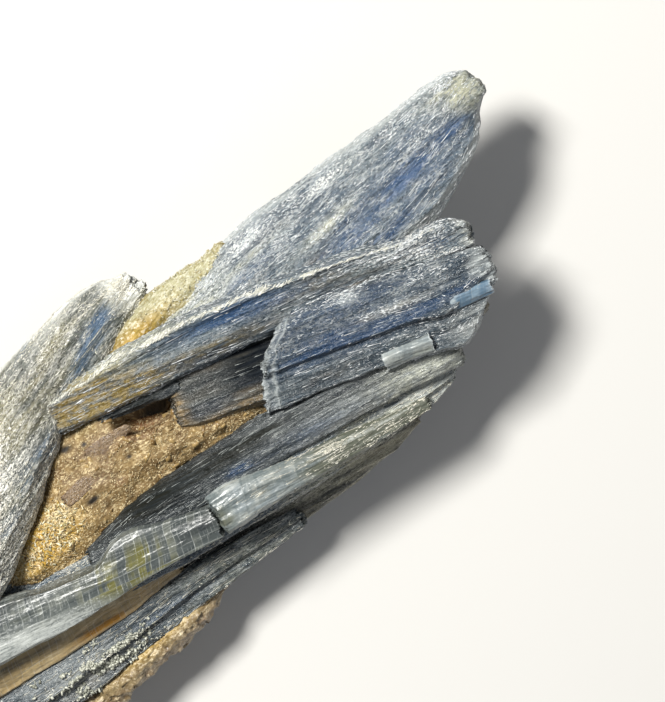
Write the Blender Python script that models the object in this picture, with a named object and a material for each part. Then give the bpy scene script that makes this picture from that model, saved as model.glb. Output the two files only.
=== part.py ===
"""A hand-sized kyanite specimen: flattened blades fanning out of a broken root, on a stained matrix.

It lies on the cleavage faces of three back blades, with +Z up and +X along the fan towards the tips.
Each crystal is a loft through a few cross-sections along its own grain. Sizes below are millimetres.
"""

import math

import bmesh
import bpy
import numpy as np
from mathutils import Matrix, Vector

MM = 0.001
SEAM = 0.3  # parting left between two crystals that grew face to face
LUMP_SEED = 5  # the same for a lumpy piece and the room it makes, so that the two agree

# Moves the drawn layout so that the origin is under the middle of the specimen's box.
LAYOUT_SHIFT = (1.96, 0.25)

# Cross-sections run right to left as (share of the width, height). Height 1 is the blade's top
# face and -1 its underside, so a jump between two shares is a cleavage ledge along the grain.
FLAT_TOP = [(0.0, 0.1), (0.07, 0.72), (0.3, 0.9), (0.62, 1.0), (0.86, 0.84), (1.0, 0.15)]
LEDGED_TOP = [(0.0, 0.0), (0.06, 0.62), (0.39, 0.7), (0.42, 1.0), (0.78, 0.95), (0.93, 0.7), (1.0, 0.1)]
RIDGED_TOP = [(0.0, 0.15), (0.1, 0.55), (0.66, 0.82), (0.84, 1.0), (0.94, 0.8), (1.0, 0.1)]
DOMED_TOP = [(0.0, 0.1), (0.07, 0.58), (0.26, 0.88), (0.5, 1.0), (0.74, 0.92), (0.93, 0.6), (1.0, 0.1)]
UNDERSIDE = [(1.0, -0.2), (0.9, -0.85), (0.55, -1.0), (0.15, -0.9), (0.0, -0.25)]
CLEAVED_UNDERSIDE = [(0.95, -1.0), (0.05, -1.0)]

KYANITE = {"color": (0.30, 0.38, 0.50), "roughness": 0.38}
CLEAR_KYANITE = {"color": (0.40, 0.48, 0.54), "roughness": 0.22}
AMBER_KYANITE = {"color": (0.36, 0.24, 0.11), "roughness": 0.3}
MATRIX = {"color": (0.42, 0.30, 0.17), "roughness": 0.8}
YELLOW_CRUST = {"color": (0.62, 0.46, 0.14), "roughness": 0.7}
QUARTZ_CRUST = {"color": (0.48, 0.38, 0.25), "roughness": 0.35}

# Each blade: where station 0 of its grain line stands, the grain's heading in plan, the rise
# along it (pitch), the tilt across it (roll, left side up), and its stations as
# (along the grain, right edge, left edge, thickness). A slant skews the root's break across the
# grain, and a bow pushes its middle out.
BLADES = {
    "ridge_blade": {
        "root": (-11.0, 8.7, 13.9), "heading": -11.0, "pitch": 4.0, "roll": 6.0, "top": RIDGED_TOP,
        "stations": [
            (-0.5, -1.5, 2.2, 2.8), (4.0, -1.5, 3.2, 4.0), (8.0, -1.4, 4.2, 5.4), (12.0, -1.2, 4.5, 6.8),
            (18.0, -1.1, 4.9, 7.2), (22.0, -1.0, 4.7, 7.4), (28.0, -0.6, 4.2, 7.0),
            (33.0, 0.0, 3.8, 6.2), (38.5, -0.4, 2.8, 5.2), (41.5, -0.9, 3.0, 4.8), (44.0, -1.0, 2.9, 4.2), (45.0, -0.7, 1.6, 3.0),
        ],
        "material": KYANITE,
    },
    "broken_blade": {
        "root": (9.5, 1.0, 15.6), "heading": -12.0, "pitch": 0.0, "roll": 9.0, "top": LEDGED_TOP,
        "stations": [
            (0.8, -4.7, 5.4, 5.4), (9.0, -4.8, 5.5, 5.8), (15.8, -5.4, 4.7, 5.6), (18.5, -6.3, 4.5, 5.0),
            (21.0, -4.2, 4.3, 4.4), (23.0, -1.5, 3.7, 3.8), (23.8, -0.8, 2.6, 3.0),
        ],
        "root_slant": 0.62, "root_bow": 1.4, "material": KYANITE,
    },
    "left_blade": {
        "root": (-30.6, 1.6, 13.4), "heading": 21.0, "pitch": -1.5, "roll": -13.0, "top": DOMED_TOP,
        "stations": [
            (-14.0, -4.6, 4.4, 6.0), (-3.0, -6.0, 6.4, 8.6), (5.0, -5.0, 7.6, 9.0), (12.5, -3.5, 8.4, 8.4),
            (19.5, -1.6, 8.1, 7.4), (23.0, -0.5, 7.6, 6.8), (27.5, -1.3, 6.7, 5.8), (31.0, -1.1, 6.0, 4.8),
            (34.0, -0.7, 4.7, 3.6), (36.2, -0.3, 2.6, 2.0),
        ],
        "root_slant": 0.35, "material": KYANITE,
    },
    "stub_blade": {
        "root": (-3.7, -8.0, 14.0), "heading": -7.0, "pitch": -3.0, "roll": 4.0, "top": FLAT_TOP,
        "stations": [
            (0.2, -2.3, 1.9, 4.2), (2.0, -2.1, 2.7, 4.4), (4.4, -1.8, 2.1, 4.2), (9.0, -1.5, 1.5, 3.6),
            (16.0, -1.3, 1.2, 3.0), (24.0, -0.9, 0.8, 2.0),
        ],
        "root_slant": -0.1, "material": CLEAR_KYANITE,
    },
    "clear_blade": {
        "root": (-28.2, -5.5, 12.4), "heading": -10.0, "pitch": 0.0, "roll": 5.0, "top": FLAT_TOP,
        "stations": [
            (-17.0, -3.4, 3.4, 4.6), (-5.0, -3.2, 3.6, 5.4), (1.4, -2.6, 3.4, 5.6), (6.6, -2.5, 2.5, 5.6),
            (12.0, -1.8, 2.4, 5.6), (13.8, -1.5, 4.2, 5.4), (16.5, -1.2, 4.5, 5.2), (19.0, -0.9, 3.8, 5.0),
            (24.3, -0.6, 3.2, 4.8),
        ],
        "root_slant": 0.3, "material": CLEAR_KYANITE,
    },
    "dark_blade": {
        "root": (-12.4, -3.8, 12.4), "heading": -7.0, "pitch": 0.8, "roll": 12.0, "top": FLAT_TOP,
        "stations": [
            (-4.0, -2.0, -0.2, 2.4), (2.3, -2.4, 2.1, 4.4), (6.0, -1.9, 2.6, 5.2), (18.4, -1.3, 3.8, 5.6),
            (25.0, -1.2, 4.0, 5.6), (32.6, -1.1, 3.6, 5.0), (36.6, -1.3, 2.4, 4.0), (38.2, -1.6, 0.6, 2.4),
        ],
        "material": KYANITE,
    },
    "upper_blade": {
        "root": (-6.9, 5.8, 12.2), "heading": 9.0, "pitch": 1.2, "roll": -9.0, "top": DOMED_TOP,
        "stations": [
            (5.0, -2.6, 3.6, 4.4), (8.0, -4.0, 4.5, 5.8), (12.0, -5.0, 4.8, 6.4), (20.0, -6.3, 5.4, 6.8),
            (25.0, -7.3, 5.3, 6.6), (29.0, -8.0, 4.4, 6.2), (37.5, -8.4, 3.3, 5.6), (42.0, -7.3, 2.7, 5.0),
            (46.0, -5.6, 2.2, 4.2), (48.3, -3.4, 1.7, 3.2), (49.8, -2.2, 0.6, 1.8),
        ],
        "root_slant": -0.5, "material": KYANITE,
    },
    "recessed_blade": {
        "root": (-1.0, 3.5, 13.2), "heading": -13.0, "pitch": 0.4, "roll": 8.0, "top": FLAT_TOP,
        "stations": [
            (0.2, -2.6, 3.4, 2.6), (1.2, -3.2, 4.4, 4.0), (6.0, -3.3, 6.0, 4.6), (12.0, -3.8, 6.2, 4.8),
            (22.0, -4.5, 4.6, 4.6), (30.0, -4.8, 3.8, 4.0), (33.0, -3.0, 2.4, 2.8),
        ],
        "root_slant": 0.1, "material": KYANITE,
    },
    "lower_blade": {
        "root": (-12.4, -3.8, 11.4), "heading": -7.0, "pitch": 0.6, "roll": 16.0, "top": LEDGED_TOP,
        "stations": [
            (-14.0, -6.4, -1.0, 4.4), (5.0, -6.3, 0.0, 5.4), (18.0, -5.6, 0.6, 5.8), (28.0, -4.8, 0.6, 5.2),
            (33.0, -3.9, 0.4, 4.2), (36.8, -2.6, -0.6, 2.6),
        ],
        "material": KYANITE,
    },
    "amber_blade": {
        "root": (-30.0, -9.0, 9.0), "heading": -4.0, "pitch": 0.0, "roll": 14.0, "top": FLAT_TOP,
        "stations": [
            (-14.0, -2.2, 3.6, 4.2), (-4.0, -2.0, 3.6, 5.0), (8.0, -1.7, 3.2, 5.2), (15.0, -1.2, 3.0, 4.6),
            (20.0, -0.6, 2.4, 3.0),
        ],
        "material": AMBER_KYANITE,
    },
    "edge_blade": {
        "root": (-12.4, -3.8, 9.4), "heading": -7.0, "pitch": 0.9, "roll": 24.0, "top": RIDGED_TOP,
        "stations": [
            (-14.0, -9.8, -5.0, 3.8), (2.0, -11.0, -4.6, 4.6), (11.0, -9.8, -3.8, 4.8), (20.0, -8.3, -3.2, 4.4),
            (28.0, -6.6, -2.8, 3.8), (31.5, -5.0, -2.8, 2.4),
        ],
        "material": KYANITE,
    },
    "bottom_blade": {
        "root": (-27.1, -14.3, 7.2), "heading": -2.0, "pitch": 0.0, "roll": 12.0, "top": LEDGED_TOP,
        "stations": [
            (-16.0, -2.2, 4.4, 3.8), (-5.0, -2.2, 5.2, 4.8), (3.0, -1.7, 5.2, 5.2), (10.0, -0.9, 4.8, 5.2),
            (16.0, -0.1, 4.8, 4.6), (24.0, 0.6, 4.4, 3.8), (30.0, 1.2, 3.6, 2.2),
        ],
        "root_slant": -0.3, "material": KYANITE,
    },
}

# The back blades stand on flat cleavage faces: their thickness is a height above the table.
BACK_BLADES = {
    "back_blade_middle": {
        "root": (-30.0, -2.0, 0.0), "heading": 3.0, "top": FLAT_TOP,
        "stations": [
            (-13.5, -4.6, 4.4, 8.0), (-4.0, -6.4, 6.2, 10.6), (15.0, -7.0, 7.0, 11.4), (35.0, -5.6, 6.0, 11.0),
            (45.0, -4.4, 4.6, 8.0), (51.0, -2.6, 2.8, 5.0),
        ],
        "root_slant": 0.4, "material": KYANITE,
    },
    "back_blade_left": {
        "root": (-30.0, 3.0, 0.0), "heading": 10.5, "top": DOMED_TOP,
        "stations": [
            (-11.0, -3.0, 3.0, 8.0), (0.0, -4.0, 5.4, 11.0), (15.0, -5.0, 6.6, 11.4), (28.0, -4.5, 5.4, 9.6),
            (42.0, -3.5, 3.0, 8.4), (50.0, -2.0, 1.4, 5.0),
        ],
        "root_slant": 0.3, "material": KYANITE,
    },
    "back_blade_right": {
        "root": (-22.0, -11.0, 0.0), "heading": 0.0, "top": DOMED_TOP,
        "stations": [
            (-20.0, -3.4, 3.0, 4.0), (-10.0, -5.2, 4.4, 5.6), (5.0, -4.2, 5.0, 6.4), (20.0, -3.2, 5.0, 7.0),
            (32.0, -1.4, 4.4, 5.0), (38.0, 0.4, 3.4, 3.0),
        ],
        "root_slant": -0.35, "material": KYANITE,
    },
}

# Matrix and crusts fill hollows between the blades. "lump" is how much, as a share of the way from
# the middle, their facets stand out or fall back.
FILLINGS = {
    "pocket_matrix": {
        "root": (-25.0, -1.0, 9.2), "heading": 0.0, "pitch": 1.5, "roll": 4.0, "top": DOMED_TOP, "lump": 0.12,
        "stations": [
            (0.0, -1.6, 1.2, 4.0), (4.0, -3.0, 3.0, 6.4), (8.0, -3.6, 5.5, 7.4), (13.0, -3.0, 9.5, 8.0),
            (18.0, -2.0, 11.0, 8.2), (24.0, -1.6, 8.4, 8.0), (30.0, -1.8, 4.6, 7.4), (36.0, -1.6, 1.6, 6.0),
        ],
        "material": MATRIX,
    },
    "yellow_crust": {
        "root": (-3.0, 11.0, 12.4), "heading": 12.0, "pitch": 0.0, "roll": 0.0, "top": DOMED_TOP, "lump": 0.14,
        "stations": [
            (-3.0, -1.6, 0.4, 3.4), (2.0, -2.4, 1.2, 4.8), (6.0, -2.8, 1.7, 5.2), (9.0, -2.9, 1.3, 4.8),
            (12.0, -2.8, 0.5, 4.2), (15.5, -2.6, -0.1, 3.0),
        ],
        "material": YELLOW_CRUST,
    },
    "edge_crust": {
        "root": (-20.8, -16.5, 6.0), "heading": 9.0, "pitch": 1.0, "roll": 10.0, "top": DOMED_TOP, "lump": 0.18,
        "stations": [
            (-7.0, -1.0, 1.2, 2.2), (-3.0, -1.5, 1.6, 4.0), (2.0, -1.5, 1.6, 5.0), (6.0, -1.4, 1.5, 5.0),
            (10.0, -1.5, 1.2, 4.6), (12.7, -0.9, 1.0, 3.6), (13.6, -0.4, 0.6, 2.0),
        ],
        "material": QUARTZ_CRUST,
    },
}

# The dark pit in the matrix, cut out of it as one loft.
POCKET_PIT = {
    "root": (-3.6, 4.6, 13.8), "heading": -8.0, "pitch": 6.0, "roll": 6.0, "top": FLAT_TOP,
    "stations": [(-3.0, -0.8, 0.8, 2.6), (-1.2, -1.6, 1.6, 5.0), (1.4, -1.9, 1.7, 5.4), (3.2, -1.2, 1.0, 3.4)],
}

# Cleaved fragments that stay fused to the broken blade, as boxes in that blade's own
# (along, across, up) millimetres: low corner, high corner.
BROKEN_BLADE_CHIPS = {
    "chip_on_step": ((10.4, -5.0, 0.5), (15.6, -2.5, 2.9)),
    "chip_at_tip": ((18.8, -2.0, -1.2), (22.8, 0.0, 2.0)),
}


def clear_scene():
    for obj in list(bpy.data.objects):
        bpy.data.objects.remove(obj)


def surface_material(name, look):
    material = bpy.data.materials.new(name)
    material.use_nodes = True
    shader = material.node_tree.nodes["Principled BSDF"]
    shader.inputs["Base Color"].default_value = (*look["color"], 1.0)
    shader.inputs["Roughness"].default_value = look["roughness"]
    shader.inputs["Metallic"].default_value = 0.0
    return material


def grain_frame(spec):
    """Matrix from a blade's own along, across and up to the specimen's frame."""
    x, y, z = spec["root"]
    place = Matrix.Translation(Vector((x + LAYOUT_SHIFT[0], y + LAYOUT_SHIFT[1], z)) * MM)
    heading = Matrix.Rotation(math.radians(spec["heading"]), 4, "Z")
    pitch = Matrix.Rotation(-math.radians(spec.get("pitch", 0.0)), 4, "Y")
    roll = Matrix.Rotation(math.radians(spec.get("roll", 0.0)), 4, "X")
    return place @ heading @ pitch @ roll @ Matrix.Scale(MM, 4)


def ring_points(spec, station, standing, grow):
    """One cross-section as (across, up) pairs, from the right edge over the top and back below."""
    _, right, left, thick = station
    right, left, thick = right - grow, left + grow, thick + 2 * grow
    below = CLEAVED_UNDERSIDE if standing else UNDERSIDE
    points = []
    for share, height in spec["top"] + below:
        across = right + share * (left - right)
        up = height * thick / 2
        if standing:
            up = thick * (height + 1) / 2 - grow
        points.append((across, up))
    return points


def loft(name, spec, standing=False, grow=0.0):
    """The blade as a closed mesh object. A cutter for a neighbour is the same loft, grown all round."""
    stations = spec["stations"]
    lump = spec.get("lump", 0.0)
    rng = np.random.default_rng(LUMP_SEED)
    frame = grain_frame(spec)
    bm = bmesh.new()
    rings = []
    for index, station in enumerate(stations):
        first, last = index == 0, index == len(stations) - 1
        slant = spec.get("root_slant", 0.0) if first else 0.0
        bow = spec.get("root_bow", 0.0) if first else 0.0
        reach = -grow if first else grow if last else 0.0
        middle = (station[1] + station[2]) / 2
        half = (station[2] - station[1]) / 2
        ring = []
        for across, up in ring_points(spec, station, standing, grow):
            # A lump moves a point straight away from the ring's middle, so a ring never crosses itself.
            swell = 1.0 + rng.uniform(-lump, lump)
            along = station[0] + reach + slant * (across - middle)
            along -= bow * max(0.0, 1.0 - ((across - middle) / half) ** 2)
            across = middle + (across - middle) * swell
            ring.append(bm.verts.new(frame @ Vector((along, across, up * swell))))
        rings.append(ring)
    for ring, following in zip(rings, rings[1:]):
        for i in range(len(ring)):
            j = (i + 1) % len(ring)
            bm.faces.new((ring[j], ring[i], following[i], following[j]))
    bm.faces.new(rings[0])
    bm.faces.new(reversed(rings[-1]))
    # Fixed diagonals bend a piece and its grown cutter along the same lines.
    bmesh.ops.triangulate(bm, faces=bm.faces[:], quad_method="FIXED")
    mesh = bpy.data.meshes.new(name)
    bm.to_mesh(mesh)
    bm.free()
    obj = bpy.data.objects.new(name, mesh)
    bpy.context.collection.objects.link(obj)
    return obj


def chip(name, spec, low, high):
    """A cleaved fragment as a box in a blade's own frame."""
    bm = bmesh.new()
    bmesh.ops.create_cube(bm, size=1.0)
    low, high = Vector(low), Vector(high)
    size = high - low
    for vert in bm.verts:
        unit = vert.co + Vector((0.5, 0.5, 0.5))
        vert.co = grain_frame(spec) @ (low + Vector((unit.x * size.x, unit.y * size.y, unit.z * size.z)))
    mesh = bpy.data.meshes.new(name)
    bm.to_mesh(mesh)
    bm.free()
    obj = bpy.data.objects.new(name, mesh)
    bpy.context.collection.objects.link(obj)
    return as_tool(obj)


def as_tool(obj):
    obj.hide_render = True
    obj.display_type = "WIRE"
    return obj


def add_boolean(obj, tool, operation):
    modifier = obj.modifiers.new(tool.name, "BOOLEAN")
    modifier.object = tool
    modifier.operation = operation


def boxes_meet(first, second):
    """Whether two objects' boxes overlap in the specimen's frame."""
    spans = []
    for obj in (first, second):
        corners = np.array([vert.co for vert in obj.data.vertices])
        spans.append((corners.min(axis=0), corners.max(axis=0)))
    (low_a, high_a), (low_b, high_b) = spans
    return bool((low_a < high_b).all() and (low_b < high_a).all())


def keep_main_body(obj):
    """Applies the cuts and drops the crumbs that they leave beside the main body."""
    bpy.context.view_layer.update()
    cut = obj.evaluated_get(bpy.context.evaluated_depsgraph_get())
    bm = bmesh.new()
    bm.from_mesh(bpy.data.meshes.new_from_object(cut))
    bodies = []
    waiting = set(bm.faces)
    while waiting:
        body, front = set(), [waiting.pop()]
        while front:
            face = front.pop()
            body.add(face)
            for edge in face.edges:
                for other in edge.link_faces:
                    if other in waiting:
                        waiting.discard(other)
                        front.append(other)
        bodies.append(body)
    largest = max(bodies, key=lambda faces: sum(face.calc_area() for face in faces))
    crumbs = [face for body in bodies if body is not largest for face in body]
    bmesh.ops.delete(bm, geom=crumbs, context="FACES")
    obj.modifiers.clear()
    bm.to_mesh(obj.data)
    bm.free()


def build():
    clear_scene()
    looks = {}
    tools = []
    layers = [(BLADES, False), (FILLINGS, False), (BACK_BLADES, True)]
    for group, standing in layers:
        for name, spec in group.items():
            obj = loft(name, spec, standing)
            slot = id(spec["material"])
            if slot not in looks:
                looks[slot] = surface_material(f"{name}_finish", spec["material"])
            obj.data.materials.append(looks[slot])
            if name == "broken_blade":
                for chip_name, (low, high) in BROKEN_BLADE_CHIPS.items():
                    add_boolean(obj, chip(chip_name, spec, low, high), "UNION")
            if name == "pocket_matrix":
                add_boolean(obj, as_tool(loft("pocket_pit", POCKET_PIT)), "DIFFERENCE")
            for tool in tools:
                if boxes_meet(obj, tool):
                    add_boolean(obj, tool, "DIFFERENCE")
            keep_main_body(obj)
            # What comes later in the layers grew round this piece, so it is cut by it.
            tools.append(as_tool(loft(f"{name}_room", spec, standing, grow=SEAM)))


build()
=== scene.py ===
import math

import bpy
import numpy as np
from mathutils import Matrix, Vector


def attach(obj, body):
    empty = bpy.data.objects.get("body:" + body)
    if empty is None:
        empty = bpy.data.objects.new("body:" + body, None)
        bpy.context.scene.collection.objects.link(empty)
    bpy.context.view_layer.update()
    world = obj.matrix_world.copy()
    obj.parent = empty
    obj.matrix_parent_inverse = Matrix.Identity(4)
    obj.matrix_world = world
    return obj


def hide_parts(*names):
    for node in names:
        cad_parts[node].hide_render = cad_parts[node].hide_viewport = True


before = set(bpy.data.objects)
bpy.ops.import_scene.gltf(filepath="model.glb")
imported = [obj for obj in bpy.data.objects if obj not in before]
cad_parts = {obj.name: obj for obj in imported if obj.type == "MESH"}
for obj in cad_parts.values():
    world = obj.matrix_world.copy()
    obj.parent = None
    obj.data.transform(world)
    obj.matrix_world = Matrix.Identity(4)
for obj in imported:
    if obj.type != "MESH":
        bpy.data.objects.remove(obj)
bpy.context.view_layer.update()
print("frame loaded,", len(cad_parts), "nodes")

mm = 0.001
layoutShift = (1.96, 0.25)  # the same shift as the solids have
latticeSize = 256           # side of the random tables that the noise reads
capRings = 12               # rings that close each end of a crystal
kyaniteIor, quartzIor, micaIor = 1.72, 1.55, 1.58

# Cross-sections from the right edge over the top, as (share of the width, share of half the thickness)
flatTop = [(0, 0.1), (0.07, 0.72), (0.3, 0.9), (0.62, 1), (0.86, 0.84), (1, 0.15)]
ledgedTop = [(0, 0), (0.06, 0.62), (0.39, 0.7), (0.42, 1), (0.78, 0.95), (0.93, 0.7), (1, 0.1)]
ridgedTop = [(0, 0.15), (0.1, 0.55), (0.66, 0.82), (0.84, 1), (0.94, 0.8), (1, 0.1)]
slabTop = [(0, 0.2), (0.05, 0.86), (0.3, 0.94), (0.6, 1), (0.93, 0.94), (1, 0.2)]
domedTop = [(0, 0.1), (0.07, 0.58), (0.26, 0.88), (0.5, 1), (0.74, 0.92), (0.93, 0.6), (1, 0.1)]
underside = [(1, -0.2), (0.9, -0.85), (0.55, -1), (0.15, -0.9), (0, -0.25)]
cleavedUnderside = [(0.95, -1), (0.5, -1), (0.05, -1)]


def latticeNoise(x, y, seed):
    # random heights on a whole-number lattice, blended by 3t^2 - 2t^3 between its points, from -1 to 1
    table = np.random.default_rng(seed).uniform(-1, 1, (latticeSize, latticeSize))
    xCell, yCell = np.floor(x).astype(int), np.floor(y).astype(int)
    tx, ty = x - xCell, y - yCell
    tx, ty = tx * tx * (3 - 2 * tx), ty * ty * (3 - 2 * ty)
    x0, x1 = xCell % latticeSize, (xCell + 1) % latticeSize
    y0, y1 = yCell % latticeSize, (yCell + 1) % latticeSize
    low = table[x0, y0] * (1 - tx) + table[x1, y0] * tx
    high = table[x0, y1] * (1 - tx) + table[x1, y1] * tx
    return low * (1 - ty) + high * ty


def fibreNoise(along, across, length, width, seed, octaves=3):
    # lattice noise stretched along the grain; each octave is half as long, wide and high
    total = 0
    for k in range(octaves):
        total = total + latticeNoise(along / length * 2**k, across / width * 2**k, seed + k) * 0.6**k
    return total


def plateNoise(x, y, seed):
    # every point belongs to the nearest centre of a jittered lattice, and each such cell is one
    # flat plate with its own height and tilt, so its borders are small sharp steps
    rng = np.random.default_rng(seed)
    jitterX, jitterY, level, slopeX, slopeY = rng.uniform(-1, 1, (5, latticeSize, latticeSize))
    xCell, yCell = np.floor(x).astype(int), np.floor(y).astype(int)
    nearest = np.full(x.shape, 99.0)
    height = np.zeros(x.shape)
    for stepX in (-1, 0, 1):
        for stepY in (-1, 0, 1):
            i, j = (xCell + stepX) % latticeSize, (yCell + stepY) % latticeSize
            offX = x - (xCell + stepX + 0.5 + 0.45 * jitterX[i, j])
            offY = y - (yCell + stepY + 0.5 + 0.45 * jitterY[i, j])
            distance = offX**2 + offY**2
            nearer = distance < nearest
            nearest = np.where(nearer, distance, nearest)
            plate = 0.6 * level[i, j] + slopeX[i, j] * offX + slopeY[i, j] * offY
            height = np.where(nearer, plate, height)
    return height


def smoothStep(low, high, value):
    # 0 up to low, 1 from high on, and 3t^2 - 2t^3 between them
    t = np.clip((value - low) / (high - low), 0, 1)
    return t * t * (3 - 2 * t)


def terraces(value, levels):
    # a smooth value cut into level steps, each riser taking the last tenth of the tread
    scaled = value * levels
    whole = np.floor(scaled)
    return (whole + smoothStep(0.88, 1, scaled - whole)) / levels


def blurLine(values, sigma):
    # running mean under a bell curve, with both ends held
    reach = max(1, int(3 * sigma))
    bell = np.exp(-0.5 * (np.arange(-reach, reach + 1) / sigma) ** 2)
    padded = np.concatenate([np.full(reach, values[0]), values, np.full(reach, values[-1])])
    return np.convolve(padded, bell / bell.sum(), "valid")


def grainMatrix(spec):
    # turns the grain's own along, across, up into the specimen's axes: roll, then pitch, then heading
    heading, pitch, roll = (math.radians(spec.get(key, 0)) for key in ("heading", "pitch", "roll"))
    rx = np.array([[1, 0, 0], [0, math.cos(roll), -math.sin(roll)], [0, math.sin(roll), math.cos(roll)]])
    ry = np.array([[math.cos(pitch), 0, -math.sin(pitch)], [0, 1, 0], [math.sin(pitch), 0, math.cos(pitch)]])
    rz = np.array([[math.cos(heading), -math.sin(heading), 0], [math.sin(heading), math.cos(heading), 0],
                   [0, 0, 1]])
    return rz @ ry @ rx


def toSpecimen(spec, local):
    # the grain's own place turned by the grain matrix and moved to the root
    x, y, z = spec["root"]
    return local @ grainMatrix(spec).T + np.array([x + layoutShift[0], y + layoutShift[1], z])


def ringProfile(top, below, width, thickness, columns):
    # the closed cross-section, started at the middle of the underside, as shares and heights at
    # even steps of its own length; the underside gets half the points, and corners are rounded
    start = len(below) // 2
    knots = np.array(below[start:] + top + below[:start + 1], float)
    steps = np.hypot(np.diff(knots[:, 0]) * width, np.diff(knots[:, 1]) * thickness / 2)
    under = (knots[1:, 1] + knots[:-1, 1]) / 2 < -0.3
    weight = np.where(under, 0.4, 1.0)
    reached = np.concatenate([[0], np.cumsum(steps * weight)])
    at = np.linspace(0, reached[-1], columns + 1)[:-1]
    shares = np.interp(at, reached, knots[:, 0])
    heights = np.interp(at, reached, knots[:, 1])
    sigma = max(0.6, 0.11 / (reached[-1] / columns))
    around = np.arange(-int(3 * sigma) - 1, int(3 * sigma) + 2)
    bell = np.exp(-0.5 * (around / sigma) ** 2)
    bell /= bell.sum()
    shares = sum(np.roll(shares, -k) * w for k, w in zip(around, bell))
    heights = sum(np.roll(heights, -k) * w for k, w in zip(around, bell))
    return shares, heights


def spotField(spots, along, across):
    # each spot is a bell stretched along the grain: (along, across, half length, half width, strength)
    total = np.zeros(along.shape)
    for x, y, length, width, strength in spots:
        total += strength * np.exp(-(((along - x) / length) ** 2) - ((across - y) / width) ** 2)
    return total


def gridNormals(points):
    # cross product of the steps along the rows and round the ring
    alongStep = np.gradient(points, axis=0)
    aroundStep = np.roll(points, -1, axis=1) - np.roll(points, 1, axis=1)
    normals = np.cross(alongStep, aroundStep)
    return normals / np.maximum(np.linalg.norm(normals, axis=2, keepdims=True), 1e-9)


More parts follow.
